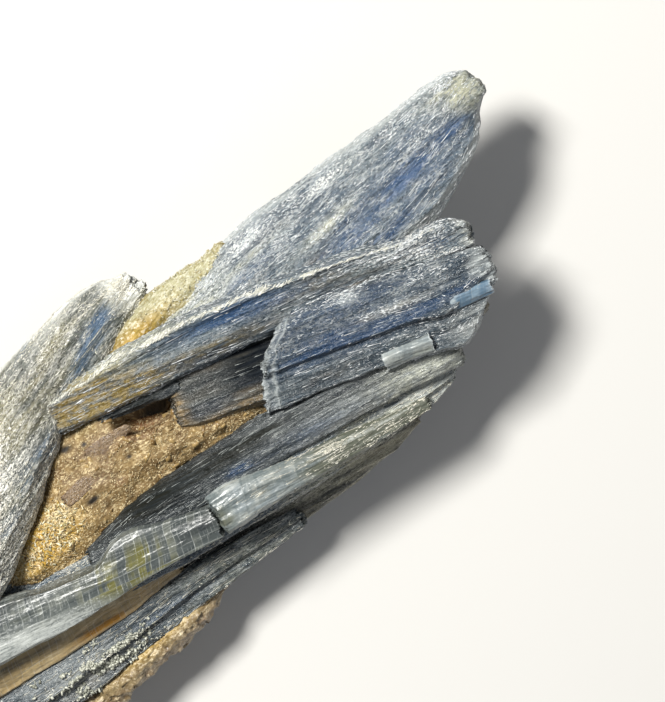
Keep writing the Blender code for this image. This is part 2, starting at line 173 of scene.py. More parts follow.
def loftGrid(spec):
    # the surface of one crystal: rings between its two ends, each ring the cross-section stretched
    # to the right edge, left edge and thickness there, then shrinking rings that close both ends
    stations = np.array(spec["stations"], float)
    rowStep = spec.get("rowStep", 0.14)
    rows = int((stations[-1, 0] - stations[0, 0]) / rowStep)
    at = np.linspace(stations[0, 0], stations[-1, 0], rows)
    softness = spec.get("softness", 0.7) / rowStep
    right, left, thick = (blurLine(np.interp(at, stations[:, 0], stations[:, k]), softness)
                          for k in (1, 2, 3))
    standing = spec.get("standing", False)
    below = cleavedUnderside if standing else underside
    width, depth = stations[:, 2] - stations[:, 1], stations[:, 3]
    columns = spec["columns"]
    shares, heights = ringProfile(spec["top"], below, width.max(), depth.max(), columns)
    seed = spec["seed"]

    # closing rings: the ring shrinks towards its middle while it moves a little further out
    shrink = (np.arange(1, capRings + 1) / (capRings + 0.5)) ** 1.3
    bulge = spec.get("bulge", 0.35)
    reach = bulge * (1 - (1 - shrink) ** 2)
    scale = np.concatenate([1 - shrink[::-1], np.ones(rows), 1 - shrink])
    beyond = np.concatenate([-reach[::-1], np.zeros(rows), reach])
    hold = np.concatenate([np.zeros(capRings, int), np.arange(rows), np.full(capRings, rows - 1)])
    at, right, left, thick = at[hold], right[hold], left[hold], thick[hold]

    wander = 0.012 * latticeNoise(at[:, None] / 2.2, shares[None, :] * 5, seed + 40)
    share = shares[None, :] + wander * (1 - np.abs(2 * shares[None, :] - 1))
    middle = (left + right) / 2
    across = right[:, None] + share * (left - right)[:, None]
    across = middle[:, None] + (across - middle[:, None]) * scale[:, None]
    if standing:
        up = thick[:, None] * (heights[None, :] + 1) / 2
        up = thick[:, None] / 2 + (up - thick[:, None] / 2) * scale[:, None]
    else:
        up = heights[None, :] * thick[:, None] / 2 * scale[:, None]

    ledge, ledgeReach = spec.get("rootLedge", (0, 1))
    fromRoot = at - stations[0, 0]
    lowered = smoothStep(ledgeReach + 0.08, ledgeReach - 0.08, fromRoot + beyond)
    up = up - ledge * lowered[:, None] * smoothStep(-0.2, 0.3, heights)[None, :] * scale[:, None]

    # outer edges: notches and small steps, of about the sizes seen along the real outline
    edge = smoothStep(0.8, 1, np.abs(2 * shares - 1))[None, :] * scale[:, None]
    side = np.sign(shares - 0.5)[None, :]
    notches = np.minimum(fibreNoise(at[:, None], side * 7.3 + 0 * at[:, None], 2.6, 1.0, seed + 50, 4), 0.15)
    across = across + side * edge * notches * spec.get("notch", 0.18)

    # ends: a slanted or bowed break, and fibres that end at different lengths
    fromTip = stations[-1, 0] - at
    nearRoot = np.clip(1 - fromRoot / (stations[1, 0] - stations[0, 0]), 0, 1)[:, None]
    slanted = spec.get("rootSlant", 0) * nearRoot * (across - middle[:, None])
    bowed = spec.get("rootBow", 0) * nearRoot * np.clip(1 - (2 * share - 1) ** 2, 0, 1)
    along = at[:, None] + beyond[:, None] + slanted - bowed
    rootEnd = (spec.get("rootJag", 0.4), fromRoot, -1, 61)
    tipEnd = (spec.get("tipJag", 0.3), fromTip, 1, 67)
    for jag, distance, way, part in (rootEnd, tipEnd):
        splinter = plateNoise(across / 0.55, up / 0.8, seed + part)
        splinter = splinter + 0.5 * plateNoise(across / 0.22, up / 0.4, seed + part + 1)
        weight = np.clip(1 - distance / (3 * jag + 0.6), 0, 1) ** 2
        along = along + way * jag * weight[:, None] * np.clip(splinter, -1, 0.7)

    points = toSpecimen(spec, np.stack([along, across, up], axis=2))
    normals = gridNormals(points)
    # arc length round the ring, counted from the grain line on top, so that patterns keep their size
    stepRound = np.hypot(np.diff(across, axis=1), np.diff(up, axis=1))
    arc = np.concatenate([np.zeros((len(at), 1)), np.cumsum(stepRound, axis=1)], axis=1)
    topMiddle = int(np.argmin(np.where(heights > 0.5, np.abs(shares - 0.5), 9)))
    arc = arc - arc[:, topMiddle:topMiddle + 1] + across[:, topMiddle:topMiddle + 1]
    fromSeam = np.minimum(np.arange(columns), columns - np.arange(columns)) / columns
    seam = smoothStep(0, 0.08, fromSeam)[None, :]
    onTop = smoothStep(-0.2, 0.3, heights)[None, :] + 0 * scale[:, None]
    fromRoot = (fromRoot + beyond)[:, None] + 0 * arc
    fromTip = (fromTip - beyond)[:, None] + 0 * arc
    scale = scale[:, None] + 0 * arc
    return {"points": points, "normals": normals, "along": along, "across": across, "up": up, "arc": arc,
            "seam": seam, "share": share, "edge": edge, "scale": scale, "onTop": onTop,
            "fromRoot": fromRoot, "fromTip": fromTip}


def crestField(relief, reach=2):
    # how far a point stands over the mean of its neighbours
    mean = relief
    for axis in (0, 1):
        mean = sum(np.roll(mean, k, axis=axis) for k in range(-reach, reach + 1)) / (2 * reach + 1)
    return relief - mean


def surfaceOf(grid, relief):
    # the grid moved out along its normals by the relief, which fades out at the seam, in millimetres
    return grid["points"] + grid["normals"] * (relief * grid["seam"])[:, :, None]


def putMesh(name, vertices, loops, starts, material, nodeName=None):
    # a mesh from its corners in one row and the places in that row where faces begin, made a piece
    mesh = bpy.data.meshes.new(name)
    mesh.vertices.add(len(vertices))
    mesh.vertices.foreach_set("co", vertices.ravel())
    mesh.loops.add(len(loops))
    mesh.loops.foreach_set("vertex_index", loops)
    mesh.polygons.add(len(starts))
    mesh.polygons.foreach_set("loop_start", starts)
    mesh.update(calc_edges=True)
    mesh.materials.append(material)
    piece = bpy.data.objects.new(name, mesh)
    bpy.context.scene.collection.objects.link(piece)
    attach(piece, "root")
    if nodeName:
        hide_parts(nodeName)
    return mesh


def setValues(mesh, key, values):
    # one number at each vertex, under the name that the materials read
    mesh.attributes.new(key, "FLOAT", "POINT").data.foreach_set("value", values.astype(np.float32))


def makePiece(name, grid, relief, fields, spec):
    # quads between neighbouring rings and a fan of triangles at each end, all with faces outwards
    points = surfaceOf(grid, relief) * mm
    rows, columns = points.shape[:2]
    poles = np.stack([points[0].mean(axis=0), points[-1].mean(axis=0)])
    vertices = np.concatenate([points.reshape(-1, 3), poles])
    here = np.arange(rows * columns).reshape(rows, columns)
    after = np.roll(here, -1, axis=1)
    rootPole, tipPole = rows * columns, rows * columns + 1
    quads = np.stack([after[:-1], here[:-1], here[1:], after[1:]], axis=-1)
    rootFan = np.stack([here[0], after[0], np.full(columns, rootPole)], axis=-1)
    tipFan = np.stack([after[-1], here[-1], np.full(columns, tipPole)], axis=-1)
    loops = np.concatenate([quads.ravel(), rootFan.ravel(), tipFan.ravel()])
    sizes = np.repeat([4, 3], [(rows - 1) * columns, 2 * columns])
    starts = np.concatenate([[0], np.cumsum(sizes)[:-1]])
    mesh = putMesh(name, vertices, loops, starts, spec["material"], spec.get("node"))
    mesh.polygons.foreach_set("use_smooth", np.ones(len(sizes), bool))

    # the grain map holds millimetres along and round the crystal; the last column wraps past the seam
    along, arc = grid["along"], grid["arc"]
    wrapped = arc[:, -1] + np.hypot(*(grid[key][:, 0] - grid[key][:, -1] for key in ("across", "up")))
    u = np.concatenate([along.ravel(), [along[0].mean(), along[-1].mean()]])[loops]
    v = np.concatenate([arc.ravel(), [0, 0]])[loops]
    vQuads = v[:quads.size].reshape(quads.shape)
    vQuads[:, -1, 0] = wrapped[:-1]
    vQuads[:, -1, 3] = wrapped[1:]
    uvMap = mesh.uv_layers.new(name="grain")
    uvMap.data.foreach_set("uv", np.stack([u, v], axis=-1).astype(np.float32).ravel())
    for key, values in fields.items():
        setValues(mesh, key, np.concatenate([np.clip(values, 0, 1.5).ravel(), [0, 0]]))
    mesh.validate()


def scatterShards(name, made, weight, count, look, material, seed):
    # count small slivers stand on the surface where weight is high; each is a tapered bar with a few
    # sides, turned to lie near the grain, where neighbours swirl together, and lifted by a random
    # tilt, all joined in one mesh
    rng = np.random.default_rng(seed)
    grid, relief = made[:2]
    chance = (weight * (grid["scale"] > 0.3)).ravel()
    picks = rng.choice(weight.size, count, p=chance / chance.sum())
    surface = surfaceOf(grid, relief).reshape(-1, 3)
    grainWay = np.gradient(grid["points"], axis=0).reshape(-1, 3)[picks]
    grainWay /= np.linalg.norm(grainWay, axis=1, keepdims=True)
    normal = grid["normals"].reshape(-1, 3)[picks]
    sideWay = np.cross(normal, grainWay)
    swirl = latticeNoise(grid["along"] / 1.7, grid["arc"] / 1.1, seed + 5).ravel()[picks]
    yaw = np.radians(rng.normal(0, look["yaw"], count) + look.get("swirl", 0) * swirl)[:, None]
    tilt = np.radians(rng.uniform(*look["tilt"], count))[:, None]
    flatWay = grainWay * np.cos(yaw) + sideWay * np.sin(yaw)
    way = flatWay * np.cos(tilt) + normal * np.sin(tilt)
    cross = np.cross(normal, flatWay)
    high = np.cross(way, cross)
    length = rng.uniform(*look["length"], count)
    wide = rng.uniform(*look["width"], count)
    thick = wide * rng.uniform(*look["flatness"], count)
    taper = rng.uniform(0.1, 0.9, count)
    sides = look.get("sides", 4)
    turn = (np.arange(sides) + 0.5) / sides * 2 * math.pi
    ends = np.repeat([-0.5, 0.5], sides)
    ringY, ringZ = np.tile(np.cos(turn), 2) * 0.65, np.tile(np.sin(turn), 2) * 0.65
    narrowing = 1 - (ends > 0)[None, :] * (1 - taper[:, None])
    x = (ends + 0.1 * ringY)[None, :] * length[:, None]
    y = ringY[None, :] * wide[:, None] * narrowing
    z = ringZ[None, :] * thick[:, None] * narrowing
    raised = (length * 0.35 * np.sin(tilt[:, 0]))[:, None]
    centre = surface[picks] + way * raised + normal * (thick * 0.2)[:, None]
    points = (centre[:, None, :] + x[:, :, None] * way[:, None, :] + y[:, :, None] * cross[:, None, :]
              + z[:, :, None] * high[:, None, :]) * mm
    near = np.arange(sides)
    after = (near + 1) % sides
    walls = np.stack([near, after, after + sides, near + sides], axis=1).ravel()
    bar = np.concatenate([walls, near[::-1], near + sides])
    faceStarts = np.concatenate([4 * near, [4 * sides, 5 * sides]])
    number = np.arange(count)[:, None]
    loops = (bar[None, :] + 2 * sides * number).ravel()
    starts = (faceStarts[None, :] + 6 * sides * number).ravel()
    mesh = putMesh(name, points.reshape(-1, 3), loops, starts, material)
    setValues(mesh, "shade", np.repeat(rng.random(count), 2 * sides))
    mesh.validate()


def heightAt(made, x, y):
    # the highest z of a made piece's surface within 0.2 mm of the point (x, y) of the layout
    surface = surfaceOf(*made[:2])
    away = np.hypot(surface[:, :, 0] - x - layoutShift[0], surface[:, :, 1] - y - layoutShift[1])
    return surface[:, :, 2][away < away.min() + 0.2].max()


def fromHex(code):
    # sRGB hex to linear red, green, blue and alpha 1
    parts = [int(code[k:k + 2], 16) / 255 for k in (1, 3, 5)]
    return [p / 12.92 if p <= 0.04045 else ((p + 0.055) / 1.055) ** 2.4 for p in parts] + [1]


def addNode(tree, kind, inputs=(), output=0, **settings):
    # adds a node with its settings. Inputs are given by name, or in order for the sockets in use, and
    # each is a value, a hex colour or another node's output. It returns one output, by place or name.
    node = tree.nodes.new("ShaderNode" + kind)
    for key, value in settings.items():
        setattr(node, key, value)
    inUse = [socket for socket in node.inputs if socket.enabled]
    for key, value in inputs.items() if isinstance(inputs, dict) else enumerate(inputs):
        socket = inUse[key] if isinstance(key, int) else node.inputs[key]
        if isinstance(value, bpy.types.NodeSocket):
            tree.links.new(value, socket)
        else:
            socket.default_value = fromHex(value) if isinstance(value, str) else value
    if isinstance(output, str):
        return node.outputs[output]
    return [socket for socket in node.outputs if socket.enabled][output]


def startMaterial(name, roughness, ior):
    # a material with its Principled shader, whose roughness and index of refraction are set at once
    material = bpy.data.materials.new(name)
    material.use_nodes = True
    shader = material.node_tree.nodes["Principled BSDF"]
    shader.inputs["Roughness"].default_value = roughness
    shader.inputs["IOR"].default_value = ior
    return material, material.node_tree, shader


def spread(tree, socket, low, high):
    # a socket's range from low to high stretched to 0..1, clipped: (value - low) / (high - low)
    scale = 1 / (high - low)
    return addNode(tree, "Math", (socket, scale, -low / (high - low)), operation="MULTIPLY_ADD",
                   use_clamp=True)


def weightedSum(tree, total, *terms, clamp=False):
    # the total plus each socket times its weight; the last step may be clipped to 0..1
    for socket, weight in terms:
        total = addNode(tree, "Math", (socket, weight, total), operation="MULTIPLY_ADD")
    total.node.use_clamp = clamp
    return total


def product(tree, first, *others, clamp=False):
    # the first socket times all others; the last step may be clipped to 0..1
    for factor in others:
        first = addNode(tree, "Math", (first, factor), operation="MULTIPLY")
    if others:
        first.node.use_clamp = clamp
    return first


def tinted(tree, colour, tint, *factors, clamp=False):
    # the colour mixed towards the tint by the product of the factors
    return addNode(tree, "Mix", (product(tree, *factors, clamp=clamp), colour, tint), data_type="RGBA")


def stretched(tree, source, perLength, perWidth, shift):
    # the grain map times the cells per millimetre along and across the grain, plus a shift
    return addNode(tree, "Mapping",
                   {"Vector": source, "Location": (shift, shift, 0), "Scale": (perLength, perWidth, 1)})


def grainNoise(tree, source, perLength, perWidth, detail=4, rough=0.6, shift=0.0):
    # noise with its cells stretched along the grain
    placed = stretched(tree, source, perLength, perWidth, shift)
    return addNode(tree, "TexNoise", {"Vector": placed, "Scale": 1.0, "Detail": detail, "Roughness": rough})


def flakeCells(tree, source, perLength, perWidth, shift=0.0):
    # Voronoi cells stretched along the grain: each flake gets one random colour, used for its tone and
    # for the way that it faces
    placed = stretched(tree, source, perLength, perWidth, shift)
    return addNode(tree, "TexVoronoi", {"Vector": placed, "Scale": 1.0}, "Color")


def tiltFlakes(tree, colour, amount, normal):
    # the normal plus (flake colour - 0.5) times the amount, made one long again, so that single flakes
    # catch the light
    centred = addNode(tree, "VectorMath", (colour, (0.5, 0.5, 0.5)), operation="SUBTRACT")
    scaled = addNode(tree, "VectorMath", (centred, amount), operation="SCALE")
    summed = addNode(tree, "VectorMath", (normal, scaled), operation="ADD")
    return addNode(tree, "VectorMath", (summed,), operation="NORMALIZE")


def strandLines(tree, source, perLength, perWidth, shift):
    # thin lines along the borders of Voronoi cells that are stretched and bent along the grain
    placed = stretched(tree, source, perLength, perWidth, shift)
    sway = addNode(tree, "TexNoise", {"Vector": placed, "Scale": 1.3, "Detail": 2.0}, "Color")
    bent = addNode(tree, "VectorMath", (sway, 1.2), operation="SCALE")
    moved = addNode(tree, "VectorMath", (placed, bent), operation="ADD")
    border = addNode(tree, "TexVoronoi", {"Vector": moved, "Scale": 1.0}, "Distance",
                     feature="DISTANCE_TO_EDGE")
    return spread(tree, border, 0.17, 0.04)


def crackRow(tree, coordinate, perMillimetre, width, shift):
    # cracks at uneven distances along one coordinate, width millimetres wide, and a random tone for
    # each strip between two cracks
    inputs = {"W": weightedSum(tree, shift, (coordinate, perMillimetre)), "Scale": 1.0}
    border = addNode(tree, "TexVoronoi", inputs, "Distance", voronoi_dimensions="1D",
                     feature="DISTANCE_TO_EDGE")
    strip = addNode(tree, "TexVoronoi", inputs, "Color", voronoi_dimensions="1D")
    half = width * perMillimetre / 2
    return spread(tree, border, half * 1.5, half * 0.5), addNode(tree, "SeparateXYZ", (strip,), "X")


# Kyanite blades, cleaved along the grain: flat splintery faces with a silvery sheen, because countless
# cleavage edges scatter the light white over a grey-blue body. Roughness .2 to .45. Flakes and threads
# are drawn coarser than real ones, at one to two pixels of the render.
def cleavedKyanite(name, look):
    material, tree, shader = startMaterial(name, 0.4, kyaniteIor)
    grain = addNode(tree, "UVMap", output="UV", uv_map="grain")
    longStreaks = grainNoise(tree, grain, 0.10, 1.6, 5, 0.65)      # streaks 10 mm by 0.6 mm
    fineStreaks = grainNoise(tree, grain, 0.6, 6.0, 4, 0.7, 7.3)   # fibres 1.7 mm by 0.17 mm
    clouds = grainNoise(tree, grain, 0.16, 0.45, 3, 0.5, 11.7)     # zoning 6 mm by 2 mm
    mottle = grainNoise(tree, grain, 0.8, 1.5, 4, 0.65, 3.1)       # patches 1.2 mm by 0.7 mm
    thicket = grainNoise(tree, grain, 0.5, 1.3, 3, 0.6, 2.2)       # where threads gather, 2 mm by 0.8 mm
    flakes = flakeCells(tree, grain, 6.0, 10.5)                    # flakes 0.17 mm by 0.1 mm
    plates = flakeCells(tree, grain, 1.8, 4.5, 4.9)                # plates 0.55 mm by 0.22 mm
    threads = strandLines(tree, grain, 1.3, 4.6, 2.7)              # threads 0.8 mm long, 0.2 mm apart
    flakeTone = addNode(tree, "SeparateXYZ", (flakes,), "X")
    glassy, blue, frostAndHighlight, stain, dark, cream, pale = (
        addNode(tree, "Attribute", output="Fac", attribute_name=key)
        for key in ("glassy", "blue", "frostAndHighlight", "stain", "dark", "cream", "pale"))
    colour = tinted(tree, look["shade"], look["body"], spread(tree, longStreaks, 0.36, 0.64))
    colour = tinted(tree, colour, look["pale"], spread(tree, clouds, 0.45, 0.72))
    colour = tinted(tree, colour, look["blue"], blue, spread(tree, fineStreaks, 0.2, 0.6), clamp=True)
    colour = tinted(tree, colour, "#b2b29a", cream, spread(tree, mottle, 0.3, 0.55), clamp=True)
    colour = tinted(tree, colour, look["stain"], stain, spread(tree, mottle, 0.3, 0.62), clamp=True)
    # painted shade: the dark field holds painted shadows of blades that stand above and painted shade in the
    # relief's creases, besides darker zones of the crystal itself
    colour = tinted(tree, colour, look["gloom"], dark, spread(tree, longStreaks, 0.3, 0.62), clamp=True)
    # dark flakes, and painted shade along the low parts of the bump; then white flakes, partly painted
    # glints, and threads, which gather where frost and highlight are high and keep off the glassy, dark, blue
    # and stained parts
    calm = weightedSum(tree, 1.0, (glassy, -0.75), (dark, -0.6), (blue, -0.3), (stain, -0.4), clamp=True)
    low = spread(tree, weightedSum(tree, flakeTone, (fineStreaks, 0.9)), 0.8, 0.5)
    colour = tinted(tree, colour, look["groove"], low, calm, look["depth"])
    bright = weightedSum(tree, flakeTone, (fineStreaks, 0.75), (longStreaks, 1.0), (frostAndHighlight, 0.5), (calm, 0.6))
    whiteFlakes = spread(tree, bright, look["flecks"], look["flecks"] + 0.14)
    threadRoom = spread(tree, weightedSum(tree, thicket, (frostAndHighlight, 0.12)), 0.46, 0.66)
    whiteThreads = product(tree, threads, threadRoom, calm, look["threads"])
    white = addNode(tree, "Math", (whiteFlakes, whiteThreads), operation="MAXIMUM")
    colour = tinted(tree, colour, look["frostAndHighlight"], white, 0.9)
    colour = tinted(tree, colour, look["rim"], pale, 0.8, clamp=True)
    tree.links.new(colour, shader.inputs["Base Color"])
    tree.links.new(weightedSum(tree, 0.2, (flakeTone, 0.25)), shader.inputs["Roughness"])
    # the painted shade of the dark field also weakens the reflection there
    tree.links.new(weightedSum(tree, 0.5, (dark, -0.35), clamp=True), shader.inputs["Specular IOR Level"])
    height = weightedSum(tree, longStreaks, (fineStreaks, 1.5))
    bump = addNode(tree, "Bump", {"Strength": 1.0, "Distance": 0.0001, "Height": height})
    facing = tiltFlakes(tree, flakes, 0.5, bump)
    tree.links.new(tiltFlakes(tree, plates, 0.2, facing), shader.inputs["Normal"])
    return material


# Clear kyanite: glassy, pale blue or amber, crossed by a ladder of white cleavage cracks. Light goes
# through it, so it has transmission and a weak absorption in its own colour. Roughness .36 to .56.
def clearKyanite(name, look):
    material, tree, shader = startMaterial(name, 0.25, kyaniteIor)
    shader.inputs["Transmission Weight"].default_value = look["transmission"]
    grain = addNode(tree, "UVMap", output="UV", uv_map="grain")
    longStreaks = grainNoise(tree, grain, 0.12, 1.8, 5, 0.6)       # streaks 8 mm by 0.55 mm
    fineStreaks = grainNoise(tree, grain, 0.6, 5.5, 4, 0.6, 4.4)   # fibres 1.7 mm by 0.18 mm
    clouds = grainNoise(tree, grain, 0.3, 0.6, 3, 0.5, 9.9)        # zoning 3 mm by 1.7 mm
    sway = grainNoise(tree, grain, 0.25, 0.3, 2, 0.5, 5.5)         # bends the cracks over 4 mm
    flakes = flakeCells(tree, grain, 5.0, 9.0, 2.2)                # flakes 0.2 mm by 0.11 mm
    flakeTone = addNode(tree, "SeparateXYZ", (flakes,), "X")
    green, frostAndHighlight, dark, stain, pale = (addNode(tree, "Attribute", output="Fac", attribute_name=key)
                                       for key in ("green", "frostAndHighlight", "dark", "stain", "pale"))
    colour = tinted(tree, look["shade"], look["body"], spread(tree, longStreaks, 0.35, 0.65))
    colour = tinted(tree, colour, look["pale"], spread(tree, clouds, 0.45, 0.7))
    # the ladder: cracks across the grain, 0.9 mm apart on average, finer ones between them, and fewer
    # cracks along it, each kind only in its own patches; the cells between them differ in tone
    across = addNode(tree, "SeparateXYZ", (grain,), "Y")
    leaned = weightedSum(tree, across.node.outputs["X"], (across, -0.2))
    rungs, rungTone = crackRow(tree, weightedSum(tree, leaned, (sway, 1.0)), 1.15, 0.07, 40.0)
    fineRungs, fineTone = crackRow(tree, weightedSum(tree, leaned, (sway, 0.6)), 2.7, 0.05, 60.0)
    rails, railTone = crackRow(tree, weightedSum(tree, across, (sway, 0.5)), 0.85, 0.06, 20.0)
    rungRoom = spread(tree, grainNoise(tree, grain, 0.55, 0.35, 4, 0.7, 8.1), 0.42, 0.66)
    fineRoom = spread(tree, grainNoise(tree, grain, 0.7, 0.9, 3, 0.6, 4.8), 0.5, 0.66)
    railRoom = spread(tree, grainNoise(tree, grain, 0.2, 0.9, 4, 0.7, 6.6), 0.42, 0.68)
    ladder = product(tree, rungs, rungRoom)
    for cracks in (product(tree, rails, railRoom), product(tree, fineRungs, product(tree, fineRoom, 0.6))):
        ladder = addNode(tree, "Math", (ladder, cracks), operation="MAXIMUM")
    unstained = weightedSum(tree, look["ladder"], (stain, -look["ladder"]), clamp=True)
    ladder = product(tree, ladder, unstained)
    cellTone = weightedSum(tree, product(tree, railTone, 0.3), (rungTone, 0.5), (fineTone, 0.2))
    colour = tinted(tree, colour, look["shade"], spread(tree, cellTone, 0.62, 0.25), 0.85)
    colour = tinted(tree, colour, look["green"], green, spread(tree, cellTone, 0.25, 0.5), clamp=True)
    colour = tinted(tree, colour, look["stain"], stain, spread(tree, longStreaks, 0.15, 0.5), clamp=True)
    # painted shade: darker where the dark field holds the relief's creases and shadows of neighbouring blades
    colour = tinted(tree, colour, "#22282d", dark, spread(tree, longStreaks, 0.2, 0.55), clamp=True)
    colour = tinted(tree, colour, "#dde5e6", pale, 0.85, clamp=True)
    # white lines of the ladder, white flakes, and frosted fibres
    lifted = weightedSum(tree, flakeTone, (frostAndHighlight, 0.6), (fineStreaks, 1.0))
    frosted = product(tree, spread(tree, frostAndHighlight, 0.6, 1.5), spread(tree, fineStreaks, 0.35, 0.62))
    white = ladder
    for whiter in (product(tree, spread(tree, lifted, 1.72, 1.9), 0.55), frosted):
        white = addNode(tree, "Math", (white, whiter), operation="MAXIMUM")
    colour = tinted(tree, colour, "#e2e7e2", white, 0.95)
    tree.links.new(colour, shader.inputs["Base Color"])
    tree.links.new(weightedSum(tree, 0.36, (white, 0.2)), shader.inputs["Roughness"])
    height = weightedSum(tree, product(tree, ladder, 0.5), (fineStreaks, 0.8))
    bump = addNode(tree, "Bump", {"Strength": 0.4, "Distance": 0.00006, "Height": height})
    tree.links.new(tiltFlakes(tree, flakes, 0.16, bump), shader.inputs["Normal"])
    absorbed = addNode(tree, "VolumeAbsorption", {"Color": look["through"], "Density": look["density"]})
    tree.links.new(absorbed, tree.nodes["Material Output"].inputs["Volume"])
    return material


# Iron-stained matrix and crusts: fine flakes of mica and limonite, sugary and matt, with honey to ochre
# tones between flakes. Roughness about .65, and .4 on the honey crust; the index of quartz.
def stainedGrains(name, look):
    material, tree, shader = startMaterial(name, 0.7, quartzIor)
    grain = addNode(tree, "UVMap", output="UV", uv_map="grain")
    lumps = grainNoise(tree, grain, 0.5, 0.6, 4, 0.6)              # lumps 2 mm by 1.7 mm
    fine = grainNoise(tree, grain, 2.0, 5.0, 4, 0.75, 3.7)         # grains 0.5 mm by 0.2 mm
    cells = flakeCells(tree, grain, 4.5, 7.0, 3.7)                 # flakes 0.22 mm by 0.14 mm
    plates = flakeCells(tree, grain, 1.1, 2.0, 1.9)                # plates 0.9 mm by 0.5 mm
    flakeTone = addNode(tree, "SeparateXYZ", (cells,), "X")
    plateTone = addNode(tree, "SeparateXYZ", (plates,), "Y")
    flakes = weightedSum(tree, product(tree, fine, 0.62), (flakeTone, 0.2), (plateTone, 0.1))
    colour = tinted(tree, look["shade"], look["body"], spread(tree, lumps, 0.35, 0.65))
    for key, tint in look["tints"].items():
        field = addNode(tree, "Attribute", output="Fac", attribute_name=key)
        colour = tinted(tree, colour, tint, field, spread(tree, flakes, 0.2, 0.55), clamp=True)
    # painted glints on the crests of the bump and painted shade in its low parts
    colour = tinted(tree, colour, look["glint"], spread(tree, flakes, 0.48, 0.62), look["paintedGlint"])
    colour = tinted(tree, colour, look["pit"], spread(tree, flakes, 0.4, 0.27), 0.5)
    # painted shade in the pit and in the creases of the relief
    dark = addNode(tree, "Attribute", output="Fac", attribute_name="dark")
    colour = tinted(tree, colour, "#1d160b", dark, 0.95, clamp=True)
    tree.links.new(colour, shader.inputs["Base Color"])
    tree.links.new(weightedSum(tree, look["rough"], (flakes, 0.5), clamp=True), shader.inputs["Roughness"])
    bump = addNode(tree, "Bump", {"Strength": 1.0, "Distance": 0.00006, "Height": flakes})
    facing = tiltFlakes(tree, cells, 0.3, bump)
    tree.links.new(tiltFlakes(tree, plates, 0.2, facing), shader.inputs["Normal"])
    return material


# Slivers and flakes: cleaved or broken bits, each of one tone between two, with fine darker grain.
def shardMaterial(name, low, high, roughness, ior):
    material, tree, shader = startMaterial(name, roughness, ior)
    shade = addNode(tree, "Attribute", output="Fac", attribute_name="shade")
    place = addNode(tree, "TexCoord", output="Object")
    fine = addNode(tree, "TexNoise", {"Vector": place, "Scale": 6000.0, "Detail": 2.0})  # grain of 0.17 mm
    colour = tinted(tree, tinted(tree, low, high, shade), low, spread(tree, fine, 0.55, 0.35), 0.4)
    tree.links.new(colour, shader.inputs["Base Color"])
    return material


silver = {"body": "#4f606e", "shade": "#364451", "pale": "#707a7d", "blue": "#264a72", "stain": "#74602f",
          "groove": "#1c262f", "frostAndHighlight": "#f0f2ee", "gloom": "#1b2027", "rim": "#c3c9c8", "flecks": 2.72,
          "depth": 0.9, "threads": 0.5}
felted = {"body": "#5c6058", "shade": "#3a3f38", "pale": "#7f7952", "blue": "#365470", "stain": "#8a7f58",
          "groove": "#191c1c", "frostAndHighlight": "#f2f0e6", "gloom": "#1b2027", "rim": "#d8dad5", "flecks": 2.64,
          "depth": 0.95, "threads": 0.5}
slate = {"body": "#3a4a56", "shade": "#232f39", "pale": "#4d575d", "blue": "#1f3c5c", "stain": "#7c6b4b",
         "groove": "#161d24", "frostAndHighlight": "#e3e7e3", "gloom": "#1b2027", "rim": "#c3c9c8", "flecks": 2.93,
         "depth": 0.8, "threads": 0.35}
night = {**slate, "gloom": "#22231f", "body": "#3d4449", "shade": "#23292e", "pale": "#4e5456",
         "flecks": 3.05, "depth": 0.6, "threads": 0.15}
dusk = {"body": "#464a48", "shade": "#282d30", "pale": "#57544b", "blue": "#20344f", "stain": "#8a7552",
        "groove": "#181d20", "frostAndHighlight": "#c9c9be", "gloom": "#1c2025", "rim": "#a29a84", "flecks": 3.0,
        "depth": 0.6, "threads": 0.15}
crested = {**silver, "pale": "#667276", "stain": "#7f6b2e", "rim": "#d1d3c9", "frostAndHighlight": "#f0f0ea",
           "flecks": 2.82, "threads": 0.3}
plum = {"body": "#7d6650", "shade": "#5a493b", "pale": "#967d59", "blue": "#3c3f55", "stain": "#8a7350",
        "groove": "#2c231c", "frostAndHighlight": "#cdb48a", "gloom": "#241d18", "rim": "#b79e72", "flecks": 2.85,
        "depth": 0.6, "threads": 0.2}
silverKyanite = cleavedKyanite("silveryKyanite", silver)
crestedKyanite = cleavedKyanite("creamCrestedKyanite", crested)
slateKyanite = cleavedKyanite("slateKyanite", slate)
nightKyanite = cleavedKyanite("darkSlateKyanite", night)
duskKyanite = cleavedKyanite("smokyKyanite", dusk)
feltedKyanite = cleavedKyanite("feltedSilveryKyanite", felted)
plumKyanite = cleavedKyanite("stainedPlumKyanite", plum)
clearLook = {"transmission": 0.35, "body": "#868b82", "shade": "#51595a", "pale": "#999d93",
             "green": "#7e7b42", "stain": "#8a7a55", "ladder": 0.8, "through": "#a9c4d8", "density": 90.0}
ladderKyanite = clearKyanite("ladderedClearKyanite", clearLook)
blueLook = {**clearLook, "body": "#93aec2", "shade": "#5f7f99", "pale": "#aebfca", "ladder": 0.3}
chipKyanite = clearKyanite("blueClearKyanite", blueLook)
paleLook = {**clearLook, "body": "#b4bfc3", "shade": "#788486", "pale": "#c6cac2", "stain": "#6e7263",
            "ladder": 0.45}
stubKyanite = clearKyanite("paleClearKyanite", paleLook)
amberLook = {**clearLook, "transmission": 0.12, "body": "#dcc490", "shade": "#a89167", "pale": "#cdbc98",
             "green": "#a8761d", "through": "#d9a860", "ladder": 0.4}
amberKyanite = clearKyanite("amberKyanite", amberLook)
pocketGrains = stainedGrains("ironStainedMatrix", {
    "body": "#967d50", "shade": "#664f2e", "paintedGlint": 0.8, "glint": "#e8d5a8", "pit": "#4a3718", "rough": 0.45,
    "tints": {"olive": "#6d6128", "plum": "#6f5c52", "gold": "#b9921f", "pale": "#d8cfae",
              "amber": "#6e4212"}})
